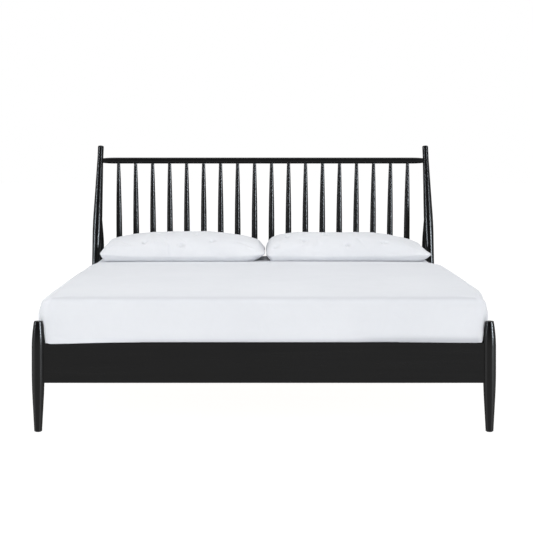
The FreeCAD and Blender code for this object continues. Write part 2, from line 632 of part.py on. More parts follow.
# Mattress, and its cover: tucked in beside the rails, with a soft drape over them at the foot end
parts["mattress"] = upright_block(MATTRESS_W, MATTRESS_FRONT_Y, MATTRESS_REAR_Y, SLAT_TOP_Z, MATTRESS_TOP_Z,
                                  MATTRESS_CORNER_R, MATTRESS_EDGE_R, MATTRESS_EDGE_R)
tuck = upright_block(COVER_W, MATTRESS_FRONT_Y - COVER_T - SEAT, COVER_REAR_Y, COVER_HEM_Z, COVER_TOP_Z,
                     MATTRESS_CORNER_R + COVER_T + SEAT, MATTRESS_EDGE_R + COVER_T + SEAT, SEAT)
drape = upright_block(MATTRESS_W + 2.0 * DRAPE_OUT, MATTRESS_FRONT_Y - COVER_FRONT_T,
                      MATTRESS_REAR_Y - DRAPE_HEAD_GAP, RAIL_TOP_Z + SEAT, COVER_TOP_Z,
                      COVER_CORNER_R, COVER_EDGE_R, COVER_ROLL_R)
hollow = upright_block(MATTRESS_W + 2.0 * SEAT, MATTRESS_FRONT_Y - SEAT, MATTRESS_REAR_Y + SEAT,
                       SLAT_TOP_Z - MATTRESS_H, MATTRESS_TOP_Z + SEAT, MATTRESS_CORNER_R + SEAT,
                       MATTRESS_EDGE_R + SEAT, SEAT)
parts["bed_cover"] = fused([tuck, drape]).cut(hollow)


def pillow(x0, x1):
    # a row of lens sections along X, full in the middle and thin at the two ends, sides drawn in
    sections = []
    middle_y = PANEL_Y - SPINDLE_BELLY_R - PILLOW_SPINDLE_GAP - PILLOW_L / 2.0
    for index in range(PILLOW_STATIONS):
        turn = math.pi * index / (PILLOW_STATIONS - 1.0)
        across = -math.cos(turn)
        full = 1.0 - abs(across) ** PILLOW_POWER
        half = PILLOW_L / 2.0 - PILLOW_DRAW * full
        rise = PILLOW_EDGE_H + (PILLOW_RISE - PILLOW_EDGE_H) * full
        sag = PILLOW_EDGE_H + (PILLOW_SAG - PILLOW_EDGE_H) * full
        x = (x0 + x1) / 2.0 + across * (x1 - x0) / 2.0
        front = FreeCAD.Vector(x, middle_y - half, SEAM_Z)
        back = FreeCAD.Vector(x, middle_y + half, SEAM_Z)
        crown = FreeCAD.Vector(x, middle_y, SEAM_Z + rise)
        belly = FreeCAD.Vector(x, middle_y, SEAM_Z - sag)
        over = Part.Arc(front, crown, back).toShape()
        under = Part.Arc(back, belly, front).toShape()
        sections.append(Part.Wire([over, under]))
    return Part.makeLoft(sections, True, False)


# The right pillow fills the room from the parting to the rear leg, and the left one is like it
right_x0 = PILLOW_PARTING + PILLOW_GAP / 2.0
right_x1 = corner_x(SEAM_Z) - REAR_BELLY_R - PILLOW_LEG_GAP
left_x1 = PILLOW_PARTING - PILLOW_GAP / 2.0
parts["pillow_left"] = pillow(left_x1 - (right_x1 - right_x0), left_x1)
parts["pillow_right"] = pillow(right_x0, right_x1)

for node in cuts:
    parts[node] = parts[node].cut(cuts[node])
parts.update(screws)

# Group nodes hold several like pieces; every other node is one solid
shapes = {}
for node in parts:
    held = parts[node]
    shapes[node] = Part.makeCompound(held) if isinstance(held, list) else held

whole = Part.makeCompound(list(shapes.values())).optimalBoundingBox()
to_middle = FreeCAD.Vector(0, -(whole.YMin + whole.YMax) / 2.0, 0)
for node in shapes:
    shapes[node].translate(to_middle)
    shapes[node].exportStep(os.path.join("parts", node + ".step"))
print("%d nodes, middle of the length at y = %.2f from the front leg axes" % (len(shapes), -to_middle.y))
for node in shapes:
    solids = shapes[node].Solids
    print(node, len(solids), "solids, valid:", all(solid.isValid() for solid in solids))
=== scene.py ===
import json
import math
import bmesh
import bpy
import numpy as np
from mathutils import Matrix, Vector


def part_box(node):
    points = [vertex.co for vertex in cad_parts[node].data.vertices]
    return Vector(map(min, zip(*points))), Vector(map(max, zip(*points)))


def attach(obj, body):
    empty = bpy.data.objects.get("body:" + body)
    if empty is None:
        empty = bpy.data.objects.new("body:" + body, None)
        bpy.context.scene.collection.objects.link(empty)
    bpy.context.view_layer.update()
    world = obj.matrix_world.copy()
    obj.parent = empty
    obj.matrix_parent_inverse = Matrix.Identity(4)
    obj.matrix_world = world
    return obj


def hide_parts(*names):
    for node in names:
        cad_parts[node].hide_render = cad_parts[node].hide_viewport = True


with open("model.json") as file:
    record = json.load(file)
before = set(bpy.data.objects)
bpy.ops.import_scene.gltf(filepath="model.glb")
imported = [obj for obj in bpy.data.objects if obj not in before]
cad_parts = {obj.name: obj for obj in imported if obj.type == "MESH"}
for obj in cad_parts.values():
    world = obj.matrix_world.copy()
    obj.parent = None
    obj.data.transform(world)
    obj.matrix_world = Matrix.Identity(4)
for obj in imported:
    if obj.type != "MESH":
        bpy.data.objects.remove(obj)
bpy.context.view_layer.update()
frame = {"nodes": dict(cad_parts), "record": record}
nodes = frame["nodes"]
print("frame loaded:", len(nodes), "nodes")

legLow, legHigh = [np.array(v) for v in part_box("front_leg_left")]
matLow, matHigh = [np.array(v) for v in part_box("mattress")]
railLow, railHigh = [np.array(v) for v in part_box("footboard_rail")]
legY = (legLow[1] + legHigh[1]) / 2  # front leg axes, from which distances along the bed are taken


class Val:
    # a value socket that takes part in Python arithmetic: each operator adds one Math node
    def __init__(self, shade, socket):
        self.shade = shade
        self.socket = socket

    def op(self, kind, *values):
        made = self.shade.node("ShaderNodeMath", {"operation": kind}, dict(enumerate(values)))
        return Val(self.shade, made.outputs[0])

    def __add__(self, other):
        return self.op("ADD", self, other)

    def __radd__(self, other):
        return self.op("ADD", other, self)

    def __sub__(self, other):
        return self.op("SUBTRACT", self, other)

    def __rsub__(self, other):
        return self.op("SUBTRACT", other, self)

    def __mul__(self, other):
        return self.op("MULTIPLY", self, other)

    def __rmul__(self, other):
        return self.op("MULTIPLY", other, self)

    def __truediv__(self, other):
        return self.op("DIVIDE", self, other)

    def __rtruediv__(self, other):
        return self.op("DIVIDE", other, self)

    def __pow__(self, other):
        return self.op("POWER", self, other)

    def sin(self):
        return self.op("SINE", self)

    def most(self, other):
        return self.op("MAXIMUM", self, other)

    def least(self, other):
        return self.op("MINIMUM", self, other)


class Shade:
    # the node tree of one material, or of the world
    def __init__(self, name, kind=bpy.data.materials):
        self.material = kind.new(name)
        self.material.use_nodes = True
        self.tree = self.material.node_tree
        self.tree.nodes.clear()

    def node(self, kind, settings=None, inputs=None):
        # settings first, then the values or links of the sockets
        made = self.tree.nodes.new(kind)
        for key, value in (settings or {}).items():
            if key == "stops":
                stops = made.color_ramp.elements
                for index, (place, shown) in enumerate(value):
                    stop = stops[index] if index < 2 else stops.new(place)
                    stop.position = place
                    stop.color = (*shown, 1)
            else:
                setattr(made, key, value)
        for key, value in (inputs or {}).items():
            value = value.socket if isinstance(value, Val) else value
            if isinstance(value, bpy.types.NodeSocket):
                self.tree.links.new(value, made.inputs[key])
            else:
                made.inputs[key].default_value = value
        return made

    def place(self, scale=(1, 1, 1), shift=(0, 0, 0)):
        where = self.node("ShaderNodeTexCoord").outputs["Object"]
        inputs = {"Vector": where, "Scale": scale, "Location": shift}
        return self.node("ShaderNodeMapping", {}, inputs).outputs[0]

    def axes(self, vector):
        split = self.node("ShaderNodeSeparateXYZ", {}, {0: vector})
        return [Val(self, socket) for socket in split.outputs]

    def noise(self, vector, scale, detail=3.0, rough=0.5, warp=0.0):
        made = self.node("ShaderNodeTexNoise", {}, {"Vector": vector, "Scale": scale, "Detail": detail,
                                                    "Roughness": rough, "Distortion": warp})
        return Val(self, made.outputs[0])

    def between(self, value, low, high):
        # 0 below low, 1 above high
        made = self.node("ShaderNodeMapRange", {"clamp": True}, {0: value, 1: low, 2: high})
        return Val(self, made.outputs[0])

    def tint(self, share, first, second):
        made = self.node("ShaderNodeMix", {"data_type": "RGBA"}, {0: share, 6: first, 7: second})
        return made.outputs[2]

    def ramp(self, value, stops):
        return self.node("ShaderNodeValToRGB", {"stops": stops}, {0: value}).outputs[0]

    def bump(self, height, strength, distance, under=None):
        inputs = {"Height": height, "Strength": strength, "Distance": distance}
        if under is not None:
            inputs["Normal"] = under
        return self.node("ShaderNodeBump", {}, inputs).outputs[0]

    def finish(self, inputs):
        shader = self.node("ShaderNodeBsdfPrincipled", {}, inputs)
        self.node("ShaderNodeOutputMaterial", {}, {"Surface": shader.outputs[0]})
        return self.material


def colour(r, g, b):
    return (r, g, b, 1.0)


lacquerSet = {
    "deep": colour(0.0012, 0.0012, 0.0013), "worn": colour(0.0030, 0.0029, 0.0030),
    "gloss": 0.21, "matt": 0.28, "specular": 0.21, "coat": 0.02, "coatRoughness": 0.12,
    # pores and grain: how close they lie across the grain and along it
    "pores": (620, 22), "poreEdge": (0.60, 0.72), "poreDepth": 0.00009, "poreStrength": 0.45,
    "grain": (46, 1.7), "grainDepth": 0.00016, "grainStrength": 0.35, "clouds": 5.0,
}


def alongGrain(axis, across, along):
    # scales of a pattern that is drawn out along one axis
    scale = [across, across, across]
    scale["XYZ".index(axis)] = along
    return tuple(scale)


def blackLacquer(axis):
    # black lacquer over open-pored wood: pores drawn out along the grain, soft brushed sheen
    s = lacquerSet
    shade = Shade("blackLacquer" + axis)
    pores = shade.noise(shade.place(alongGrain(axis, *s["pores"])), 1.0, 3.0, 0.6)
    grain = shade.noise(shade.place(alongGrain(axis, *s["grain"]), (0.3, 0.7, 0.1)), 1.0, 4.0, 0.55, 0.6)
    cloud = shade.noise(shade.place(), s["clouds"], 2.0, 0.5)
    openPores = shade.between(pores, *s["poreEdge"])
    share = shade.between(grain * 0.7 + cloud * 0.3, 0.36, 0.66)
    rough = s["gloss"] + (s["matt"] - s["gloss"]) * shade.between(grain * 0.5 + pores * 0.5, 0.35, 0.65)
    soft = shade.bump(grain, s["grainStrength"], s["grainDepth"])
    normal = shade.bump(1.0 - openPores, s["poreStrength"], s["poreDepth"], soft)
    return shade.finish({
        "Base Color": shade.tint(share, s["deep"], s["worn"]), "Roughness": rough,
        "Specular IOR Level": s["specular"], "Coat Weight": s["coat"], "Coat Roughness": s["coatRoughness"],
        "Normal": normal,
    })


plainSet = {
    "early": (0.66, 0.47, 0.27), "mid": (0.58, 0.39, 0.205), "late": (0.42, 0.255, 0.12),
    "bands": 190.0, "bandWarp": 26.0, "bandSharp": 1.6, "warp": (9, 0.8), "fibres": (420, 9),
    "streaks": (60, 1.4), "streakEdge": (0.62, 0.78), "streakShare": 0.45, "streakTone": 0.62,
    "rough": 0.58, "roughFibre": 0.12, "fibreStrength": 0.5, "fibreDepth": 0.00025,
}


def plainWood(axis):
    # bare planed softwood: wavy growth bands, fine fibres and a few darker streaks
    s = plainSet
    shade = Shade("plainWood" + axis)
    warp = shade.noise(shade.place(alongGrain(axis, *s["warp"])), 1.0, 3.0, 0.5, 0.4)
    x, y, z = shade.axes(shade.place())
    if axis == "Z":
        across = x + y * 1.3
    elif axis == "X":
        across = y * 0.9 + z * 2.2
    else:
        across = x * 0.9 + z * 2.2
    bands = ((across * s["bands"] + warp * s["bandWarp"]).sin() * 0.5 + 0.5) ** s["bandSharp"]
    fibres = shade.noise(shade.place(alongGrain(axis, *s["fibres"])), 1.0, 3.0, 0.6)
    streaks = shade.noise(shade.place(alongGrain(axis, *s["streaks"]), (2, 5, 1)), 1.0, 3.0, 0.6)
    streaks = shade.between(streaks, *s["streakEdge"])
    tone = bands * 0.55 + fibres * 0.45
    base = shade.ramp(tone, [(0.15, s["early"]), (0.85, s["late"]), (0.5, s["mid"])])
    base = shade.tint(streaks * s["streakShare"], base, colour(*[c * s["streakTone"] for c in s["late"]]))
    return shade.finish({
        "Base Color": base, "Roughness": s["rough"] + fibres * s["roughFibre"], "Specular IOR Level": 0.35,
        "Normal": shade.bump(fibres * 0.7 + bands * 0.3, s["fibreStrength"], s["fibreDepth"]),
    })


powderSet = {
    "clean": colour(0.018, 0.018, 0.019), "dusty": colour(0.032, 0.032, 0.033),
    "peel": 900.0, "peelDepth": 0.0002, "dust": 60.0, "rough": 0.42, "roughPeel": 0.16,
}


def powderCoat():
    # black powder coat on bracket steel: fine orange peel
    s = powderSet
    shade = Shade("powderCoat")
    peel = shade.noise(shade.place(), s["peel"], 2.0, 0.5)
    dust = shade.noise(shade.place(), s["dust"], 3.0, 0.6)
    return shade.finish({
        "Base Color": shade.tint(shade.between(dust, 0.3, 0.8), s["clean"], s["dusty"]),
        "Roughness": s["rough"] + peel * s["roughPeel"], "Specular IOR Level": 0.45,
        "Normal": shade.bump(peel, 0.5, s["peelDepth"]),
    })


zincSet = {
    "bright": colour(0.62, 0.64, 0.66), "dull": colour(0.46, 0.46, 0.45),
    "spangle": 380.0, "spangleDepth": 0.0001, "patches": 90.0,
    "rough": 0.26, "roughSpangle": 0.14, "roughPatch": 0.10,
}


def zincPlate():
    # zinc plated steel: cloudy spangle, a few duller patches
    s = zincSet
    shade = Shade("zincPlate")
    spangle = shade.noise(shade.place(), s["spangle"], 2.0, 0.6)
    patches = shade.between(shade.noise(shade.place(), s["patches"], 3.0, 0.5), 0.45, 0.7)
    return shade.finish({
        "Base Color": shade.tint(patches, s["bright"], s["dull"]), "Metallic": 1.0,
        "Roughness": s["rough"] + spangle * s["roughSpangle"] + patches * s["roughPatch"],
        "Normal": shade.bump(spangle, 0.25, s["spangleDepth"]),
    })


feltSet = {
    "dark": colour(0.055, 0.055, 0.058), "pale": colour(0.15, 0.15, 0.155),
    "fibres": 1400.0, "fibreDepth": 0.0004, "rough": 0.94, "sheen": 0.3,
}


def pressedFelt():
    # grey felt of the glides: matted fibres
    s = feltSet
    shade = Shade("pressedFelt")
    fibres = shade.noise(shade.place(), s["fibres"], 4.0, 0.7, 1.2)
    return shade.finish({
        "Base Color": shade.tint(shade.between(fibres, 0.3, 0.7), s["dark"], s["pale"]),
        "Roughness": s["rough"], "Specular IOR Level": 0.2, "Sheen Weight": s["sheen"],
        "Normal": shade.bump(fibres, 0.8, s["fibreDepth"]),
    })


def weave(shade, pitch):
    # plain weave: product of two thread waves. Height is added to both axes, so walls show it too.
    x, y, z = shade.axes(shade.place())
    turns = 2 * math.pi / pitch
    return ((x + z) * turns).sin() * ((y + z) * turns).sin() * 0.5 + 0.5


cottonSet = {
    "bright": colour(0.650, 0.667, 0.702), "shaded": colour(0.624, 0.641, 0.677),
    # seam: the darker colour that painted shade and painted shadow tint towards
    "seam": colour(0.46, 0.475, 0.51), "pitch": 0.0013, "threadDepth": 0.00012, "slub": 260.0, "clouds": 2.6,
    "creaseDepth": 0.0028, "creaseScale": 13.0, "rough": 0.84, "roughSlub": 0.1, "sheen": 0.12,
}
pillowSet = {
    **cottonSet, "bright": colour(0.700, 0.715, 0.746), "shaded": colour(0.666, 0.681, 0.714),
    "creaseDepth": 0.0035, "creaseScale": 17.0,
}


def whiteCotton(name, s, withPaintedShade=False):
    # washed white cotton: thread relief, slight cloudiness, soft laundering creases, and painted shade
    # that a piece's own "seam" attribute marks: painted shadow along hems and rolled edges, and in dents
    shade = Shade(name)
    threads = weave(shade, s["pitch"])
    slub = shade.noise(shade.place(), s["slub"], 3.0, 0.6)
    cloud = shade.noise(shade.place(), s["clouds"], 3.0, 0.55)
    crease = shade.noise(shade.place((1.0, 0.8, 1.0), (3, 1, 2)), s["creaseScale"], 4.0, 0.55, 1.1)
    # shaded to bright: random cloudiness, and partly painted shade, darker in the hollows of the creases
    share = shade.between(cloud * 0.7 + crease * 0.3, 0.35, 0.62)
    soft = shade.bump(crease, 0.30, s["creaseDepth"])
    normal = shade.bump(threads * 0.6 + slub * 0.4, 0.5, s["threadDepth"], soft)
    base = shade.tint(share, s["shaded"], s["bright"])
    if withPaintedShade:
        # the "seam" attribute carries painted shade: where it is high the colour goes to the darker seam
        # colour
        seam = shade.node("ShaderNodeAttribute", {"attribute_name": "seam"}).outputs["Fac"]
        base = shade.tint(seam, base, s["seam"])
    return shade.finish({
        "Base Color": base, "Roughness": s["rough"] + slub * s["roughSlub"],
        "Specular IOR Level": 0.25, "Sheen Weight": s["sheen"], "Sheen Roughness": 0.5, "Normal": normal,
    })


tickingSet = {
    "ground": colour(0.72, 0.73, 0.74), "stripe": colour(0.50, 0.53, 0.57),
    "stripePitch": 0.036, "stripeEdge": (0.80, 0.92), "twillPitch": 0.0016, "twillDepth": 0.0002,
    "quilt": 0.19, "quiltEdge": (0.0, 0.03), "quiltDepth": 0.004, "rough": 0.86, "sheen": 0.1,
}


def ticking():
    # mattress ticking: fine stripe, twill relief, quilted channels pressed in along both ways
    s = tickingSet
    shade = Shade("mattressTicking")
    x, y, z = shade.axes(shade.place())
    stripe = shade.between((x * (2 * math.pi / s["stripePitch"])).sin(), *s["stripeEdge"])
    twill = ((x + y + z) * (2 * math.pi / s["twillPitch"])).sin() * 0.5 + 0.5
    turns = math.pi / s["quilt"]
    lineX = shade.between((x * turns).sin() ** 2.0, *s["quiltEdge"])
    lineY = shade.between((y * turns).sin() ** 2.0, *s["quiltEdge"])
    soft = shade.bump(lineX.least(lineY), 0.6, s["quiltDepth"])
    return shade.finish({
        "Base Color": shade.tint(stripe, s["ground"], s["stripe"]), "Roughness": s["rough"],
        "Specular IOR Level": 0.25, "Sheen Weight": s["sheen"],
        "Normal": shade.bump(twill, 0.4, s["twillDepth"], soft),
    })


slotOf = {sub["node"]: sub["material_slot"] for sub in frame["record"]["subparts"]}
finishes = {"bracket_steel": powderCoat(), "fastener_steel": zincPlate(), "glide_felt": pressedFelt()}
lacquers = {axis: blackLacquer(axis) for axis in "XYZ"}
woods = {axis: plainWood(axis) for axis in "XYZ"}
cottonMaterial = whiteCotton("whiteCotton", cottonSet)
coverMaterial = whiteCotton("coverCotton", cottonSet, withPaintedShade=True)
pillowMaterial = whiteCotton("pillowCotton", pillowSet, withPaintedShade=True)
tickingMaterial = ticking()


def grainOf(name):
    # the way the piece's wood runs
    if name.startswith(("side_rail", "cleat", "centre_beam")):
        return "Y"
    if name.startswith(("footboard_rail", "headboard_top", "headboard_lower", "slat")):
        return "X"
    return "Z"


for name, piece in nodes.items():
    slot = slotOf[name]
    if slot == "black_lacquered_wood":
        made = lacquers[grainOf(name)]
    elif slot == "plain_wood":
        made = woods[grainOf(name)]
    else:
        made = finishes.get(slot, cottonMaterial)
    for holder in piece.material_slots:
        holder.material = made
print("finishes set on the frame's pieces")


def gridQuads(rows, cols, wrap):
    # quads between the neighbours of a rows x cols grid; wrap joins the last column to the first
    row = np.arange(rows - 1)[:, None] * cols
    col = np.arange(cols if wrap else cols - 1)[None, :]
    after = (col + 1) % cols
    return np.stack([row + col, row + after, row + cols + after, row + cols + col], axis=-1).reshape(-1, 4)


def makePiece(name, points, quads, material, weld=1e-5, marks=None):
    # one smooth mesh with its doubles merged and its faces outward; marks are values per point
    mesh = bpy.data.meshes.new(name)
    mesh.from_pydata(points.reshape(-1, 3).tolist(), [], quads.tolist())
    for key, values in (marks or {}).items():
        mesh.attributes.new(key, "FLOAT", "POINT").data.foreach_set("value", values.ravel())
    work = bmesh.new()
    work.from_mesh(mesh)
    bmesh.ops.remove_doubles(work, verts=work.verts, dist=weld)
    bmesh.ops.recalc_face_normals(work, faces=work.faces)
    work.to_mesh(mesh)
    work.free()
    mesh.polygons.foreach_set("use_smooth", np.ones(len(mesh.polygons), dtype=bool))
    mesh.materials.append(material)
    piece = bpy.data.objects.new(name, mesh)
    bpy.context.scene.collection.objects.link(piece)
    return piece


def ease(value, low, high):
    # smooth step from 0 at low to 1 at high
    t = np.clip((value - low) / (high - low), 0.0, 1.0)
    return t * t * (3 - 2 * t)


def roundedOutline(x0, x1, y0, y1, radius, count):
    # rounded rectangle by arc length, closer at the corners and the foot end, counter-clockwise from the
    # middle of the foot end, so that its two halves mirror each other: points and outward normals
    wide = x1 - x0 - 2 * radius
    length = y1 - y0 - 2 * radius
    bend = math.pi / 2 * radius
    runs = np.array([wide, bend, length, bend, wide, bend, length, bend])
    close = np.array([1.6, 5, 0.8, 3, 0.5, 3, 0.8, 5])  # points to the metre on each run, by comparison
    marks = np.concatenate([[0], np.cumsum(close * runs)])
    at = (np.arange(count) / count * marks[-1] + close[0] * wide / 2) % marks[-1]
    part = np.searchsorted(marks, at, side="right") - 1
    along = (at - marks[part]) / close[part]
    cx = np.array([x0, x1, x1, x1, x1, x0, x0, x0]) + radius * np.array([1, -1, 0, -1, -1, 1, 0, 1])
    cy = np.array([y0, y0, y0, y1, y1, y1, y1, y0]) + radius * np.array([0, 1, 1, -1, 0, -1, -1, 1])
    aim = np.array([-0.5, -0.5, 0, 0, 0.5, 0.5, 1.0, 1.0]) * math.pi
    dirX = np.array([1, 0, 0, 0, -1, 0, 0, 0])
    dirY = np.array([0, 0, 1, 0, 0, 0, -1, 0])
    curved = part % 2 == 1
    angle = aim[part] + np.where(curved, along / radius, 0.0)
    x = np.where(curved, cx[part] + radius * np.cos(angle), cx[part] + dirX[part] * along)
    y = np.where(curved, cy[part] + radius * np.sin(angle), cy[part] + dirY[part] * along)
    return x, y, np.cos(angle), np.sin(angle)


def depthInside(x, y, x0, x1, y0, y1, radius):
    # distance inward from the rounded outline, negative outside it
    dx = np.abs(x - (x0 + x1) / 2) - (x1 - x0) / 2 + radius
    dy = np.abs(y - (y0 + y1) / 2) - (y1 - y0) / 2 + radius
    outer = np.hypot(np.maximum(dx, 0), np.maximum(dy, 0)) + np.minimum(np.maximum(dx, dy), 0)
    return radius - outer


mattressSet = {
    "around": 260, "rings": 26, "edgeRings": 8, "wallRings": 18, "corner": 0.06, "inset": 0.003,
    "topIn": 0.002, "lowIn": 0.0004, "edge": 0.024, "waist": 0.002, "middle": 0.8,
    "tape": 0.0036, "tapeIn": 0.0004, "tapeRound": 12, "tapeDown": 0.024, "tapeUp": 0.026,
}


def mattressCore():
    # rings from the middle of the top out to the rim, round the top edge, down the side with a slight
    # waist, round the bottom edge and back in to the middle of the bottom
    s = mattressSet
    x, y, nx, ny = roundedOutline(matLow[0], matHigh[0], matLow[1], matHigh[1], s["corner"], s["around"])
    top = matHigh[2] - s["topIn"]
    low = matLow[2] + s["lowIn"]
    r = s["edge"]
    turn = np.linspace(0, math.pi / 2, s["edgeRings"])
    wall = np.linspace(0, 1, s["wallRings"])[1:-1]
    waist = r - s["waist"] * np.sin(math.pi * wall)
    off = np.concatenate([r * np.sin(turn), waist, r * np.cos(turn)]) - r - s["inset"]
    side = (top - r) + (low - top + 2 * r) * wall
    z = np.concatenate([top - r + r * np.cos(turn), side, low + r - r * np.sin(turn)])
    rimX = x[None, :] + off[:, None] * nx[None, :]
    rimY = y[None, :] + off[:, None] * ny[None, :]
    rimZ = np.repeat(z[:, None], len(x), axis=1)
    share = np.linspace(0, 1, s["rings"], endpoint=False)[:, None]
    midY = np.clip(y, matLow[1] + s["middle"], matHigh[1] - s["middle"])[None, :]
    topX, topY = share * rimX[:1], midY + share * (rimY[:1] - midY)
    lowX, lowY = share[::-1] * rimX[-1:], midY + share[::-1] * (rimY[-1:] - midY)
    points = np.stack([np.concatenate([topX, rimX, lowX]), np.concatenate([topY, rimY, lowY]),
                       np.concatenate([0 * topX + top, rimZ, 0 * lowX + low])], axis=-1)
    return makePiece("mattressCore", points, gridQuads(len(points), len(x), True), tickingMaterial)


def mattressTape(name, level):
    # round bead that follows the mattress outline at one level
    s = mattressSet
    x, y, nx, ny = roundedOutline(matLow[0], matHigh[0], matLow[1], matHigh[1], s["corner"], s["around"])
    turn = np.linspace(0, 2 * math.pi, s["tapeRound"], endpoint=False)[:, None]
    off = s["tape"] * np.cos(turn) - s["tape"] - s["tapeIn"]
    points = np.stack([x + off * nx, y + off * ny, level + s["tape"] * np.sin(turn) + 0 * x], axis=-1)
    quads = gridQuads(s["tapeRound"] + 1, len(x), True) % (s["tapeRound"] * len(x))
    return makePiece(name, points, quads, cottonMaterial)


core = mattressCore()
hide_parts("mattress")
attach(core, "made_up_mattress")
tapeLevels = {
    "mattressTapeUpper": matHigh[2] - mattressSet["tapeDown"],
    "mattressTapeLower": matLow[2] + mattressSet["tapeUp"],
}
for name, level in tapeLevels.items():
    tape = mattressTape(name, level)
    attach(tape, "made_up_mattress")
print("mattress made")


coverSet = {
    "around": 400, "topRings": 36, "wallRings": 34, "edgeRings": 14, "gather": 1.8, "middle": 0.8,
    "top": 0.5578, "crown": 0.0018, "cloth": 0.0022, "corner": 0.028,
    # how far it stands out from the mattress, and where along the bed that changes
    "leftOut": 0.0475, "leftFront": 0.0408, "rightOut": 0.0540, "rightFront": 0.0372, "rightLow": 0.0480,
    "leftHeadIn": 0.0125, "rightHeadIn": 0.0055, "footOut": 0.0105, "footLow": 0.0335, "overRail": 0.0043,
    "middleBlend": 0.4, "cornerRun": (0.03, 0.36), "narrowRun": (0.95, 1.50), "headRun": (1.45, 1.625),
    "leftSlant": 0.014, "cornerSlantLeft": 0.010, "cornerSlantRight": 0.008, "slantShare": 0.32,
    # how round its edges are
    "rollLeft": 0.036, "rollRight": 0.026, "rollCorner": 0.040, "rollFoot": 0.025, "rollHead": 0.026,
    "rollRun": (1.2, 1.6), "hemRoll": 0.004, "hemRollRight": 0.009, "hemRollFrom": (0.1, 0.6),
    # where, how wide and how far it hangs over the rail
    "droops": [(-0.90, 0.20, 0.0066), (0.84, 0.18, 0.0020)], "hangSoft": 0.0008, "pastRail": 0.0003,
    "fold": 0.0028, "railGap": 0.0007, "hem": 0.3225, "tuckOut": 0.0031, "tuckIn": 0.0002, "tuckBend": 0.004,
    "ridgeIn": 0.034, "ridgeWide": 0.012, "ridgeDepth": 0.0006,
    # soft folds round the walls: how many, phase, share
    "ripple": 0.0020, "waves": [(31, 0.0, 0.5), (47, 1.3, 0.3), (61, 0.5, 0.2)],
    # long shallow waves of the top: turns across and along, phase, share
    "topWave": 0.0010, "topWaves": [(3.1, 7.3, 0.4, 0.4), (-2.1, 15.3, 0.8, 0.3), (6.0, 27.0, 2.0, 0.15),
                                    (2.2, -11.0, 0.0, 0.3)],
    "legAxis": 0.9300, "legGap": 0.0016, "legRadius": 0.0266, "legShoulder": 0.350, "legArc": 0.665,
    "legTop": 0.460, "legSoft": 0.0012, "legAbove": (0.002, 0.026),
    # creases of the foot end: from (x, z) to (x, z), width and height
    "creases": [(-0.915, 0.548, -0.80, 0.545, 0.004, -0.0016), (-0.905, 0.538, -0.83, 0.540, 0.004, -0.0014),
                (-0.66, 0.485, -0.60, 0.525, 0.010, 0.0016), (-0.33, 0.480, -0.25, 0.528, 0.011, 0.0015),
                (-0.74, 0.395, -0.60, 0.415, 0.008, -0.0018), (-0.86, 0.400, -0.80, 0.386, 0.006, -0.0016),
                (-0.52, 0.455, -0.46, 0.485, 0.010, 0.0012), (0.02, 0.450, 0.10, 0.500, 0.012, 0.0012),
                (0.30, 0.395, 0.44, 0.408, 0.008, -0.0016), (0.60, 0.470, 0.52, 0.520, 0.012, 0.0012),
                (0.82, 0.420, 0.84, 0.520, 0.010, -0.0016), (0.88, 0.40, 0.865, 0.50, 0.008, 0.0014),
                (0.42, 0.3880, 0.86, 0.3880, 0.008, -0.0040)],
    # painted shade of the foot end: a darker band along the rolled edge, and painted shadow along the rail,
    # where it grows to the right
    "rollShade": 0.50, "rollShadeWide": 0.045, "rollShadeTurn": 0.30, "rollShadeTurnWide": 0.60,
    "hemShadowMiddle": 0.60, "hemShadowRight": 1.0, "hemShadowFade": 0.010, "hemShadowFadeRight": 0.016, "hemShadowStart": 0.004,
    "hemShadowFrom": (-0.72, -0.45), "hemShadowRightFrom": (0.25, 0.50),
}


def lineFade(a, b, x0, z0, x1, z1, wide):
    # 1 on the line from (x0, z0) to (x1, z1), fading across it and towards both ends
    runA, runB = x1 - x0, z1 - z0
    share = np.clip(((a - x0) * runA + (b - z0) * runB) / (runA ** 2 + runB ** 2), 0, 1)
    gap = np.hypot(a - x0 - share * runA, b - z0 - share * runB)
    return np.exp(-(gap / wide) ** 2) * np.sin(math.pi * (0.1 + 0.8 * share))


def clearOfLegs(x, y, nx, ny, z, off):
    # the outline's offset held back, with a soft minimum, to where the outward ray meets the leg beside it
    s = coverSet
    rise = np.clip(z, s["legShoulder"], s["legTop"]) - s["legShoulder"]
    radius = s["legRadius"] - s["legArc"] + np.sqrt(s["legArc"] ** 2 - rise ** 2) + s["legGap"]
    dx, dy = x - np.where(x < 0, -1.0, 1.0) * s["legAxis"], y - legY
    along = dx * nx + dy * ny
    inside = along ** 2 - dx ** 2 - dy ** 2 + radius ** 2
    limit = np.where((inside > 0) & (along < 0), -along - np.sqrt(np.maximum(inside, 0)), 1.0)
    soft = s["legSoft"]
    held = -soft * np.log(np.exp(-off / soft) + np.exp(-np.minimum(limit, 0.2) / soft))
    free = ease(z, s["legTop"] + s["legAbove"][0], s["legTop"] + s["legAbove"][1])
    return held + (off - held) * free


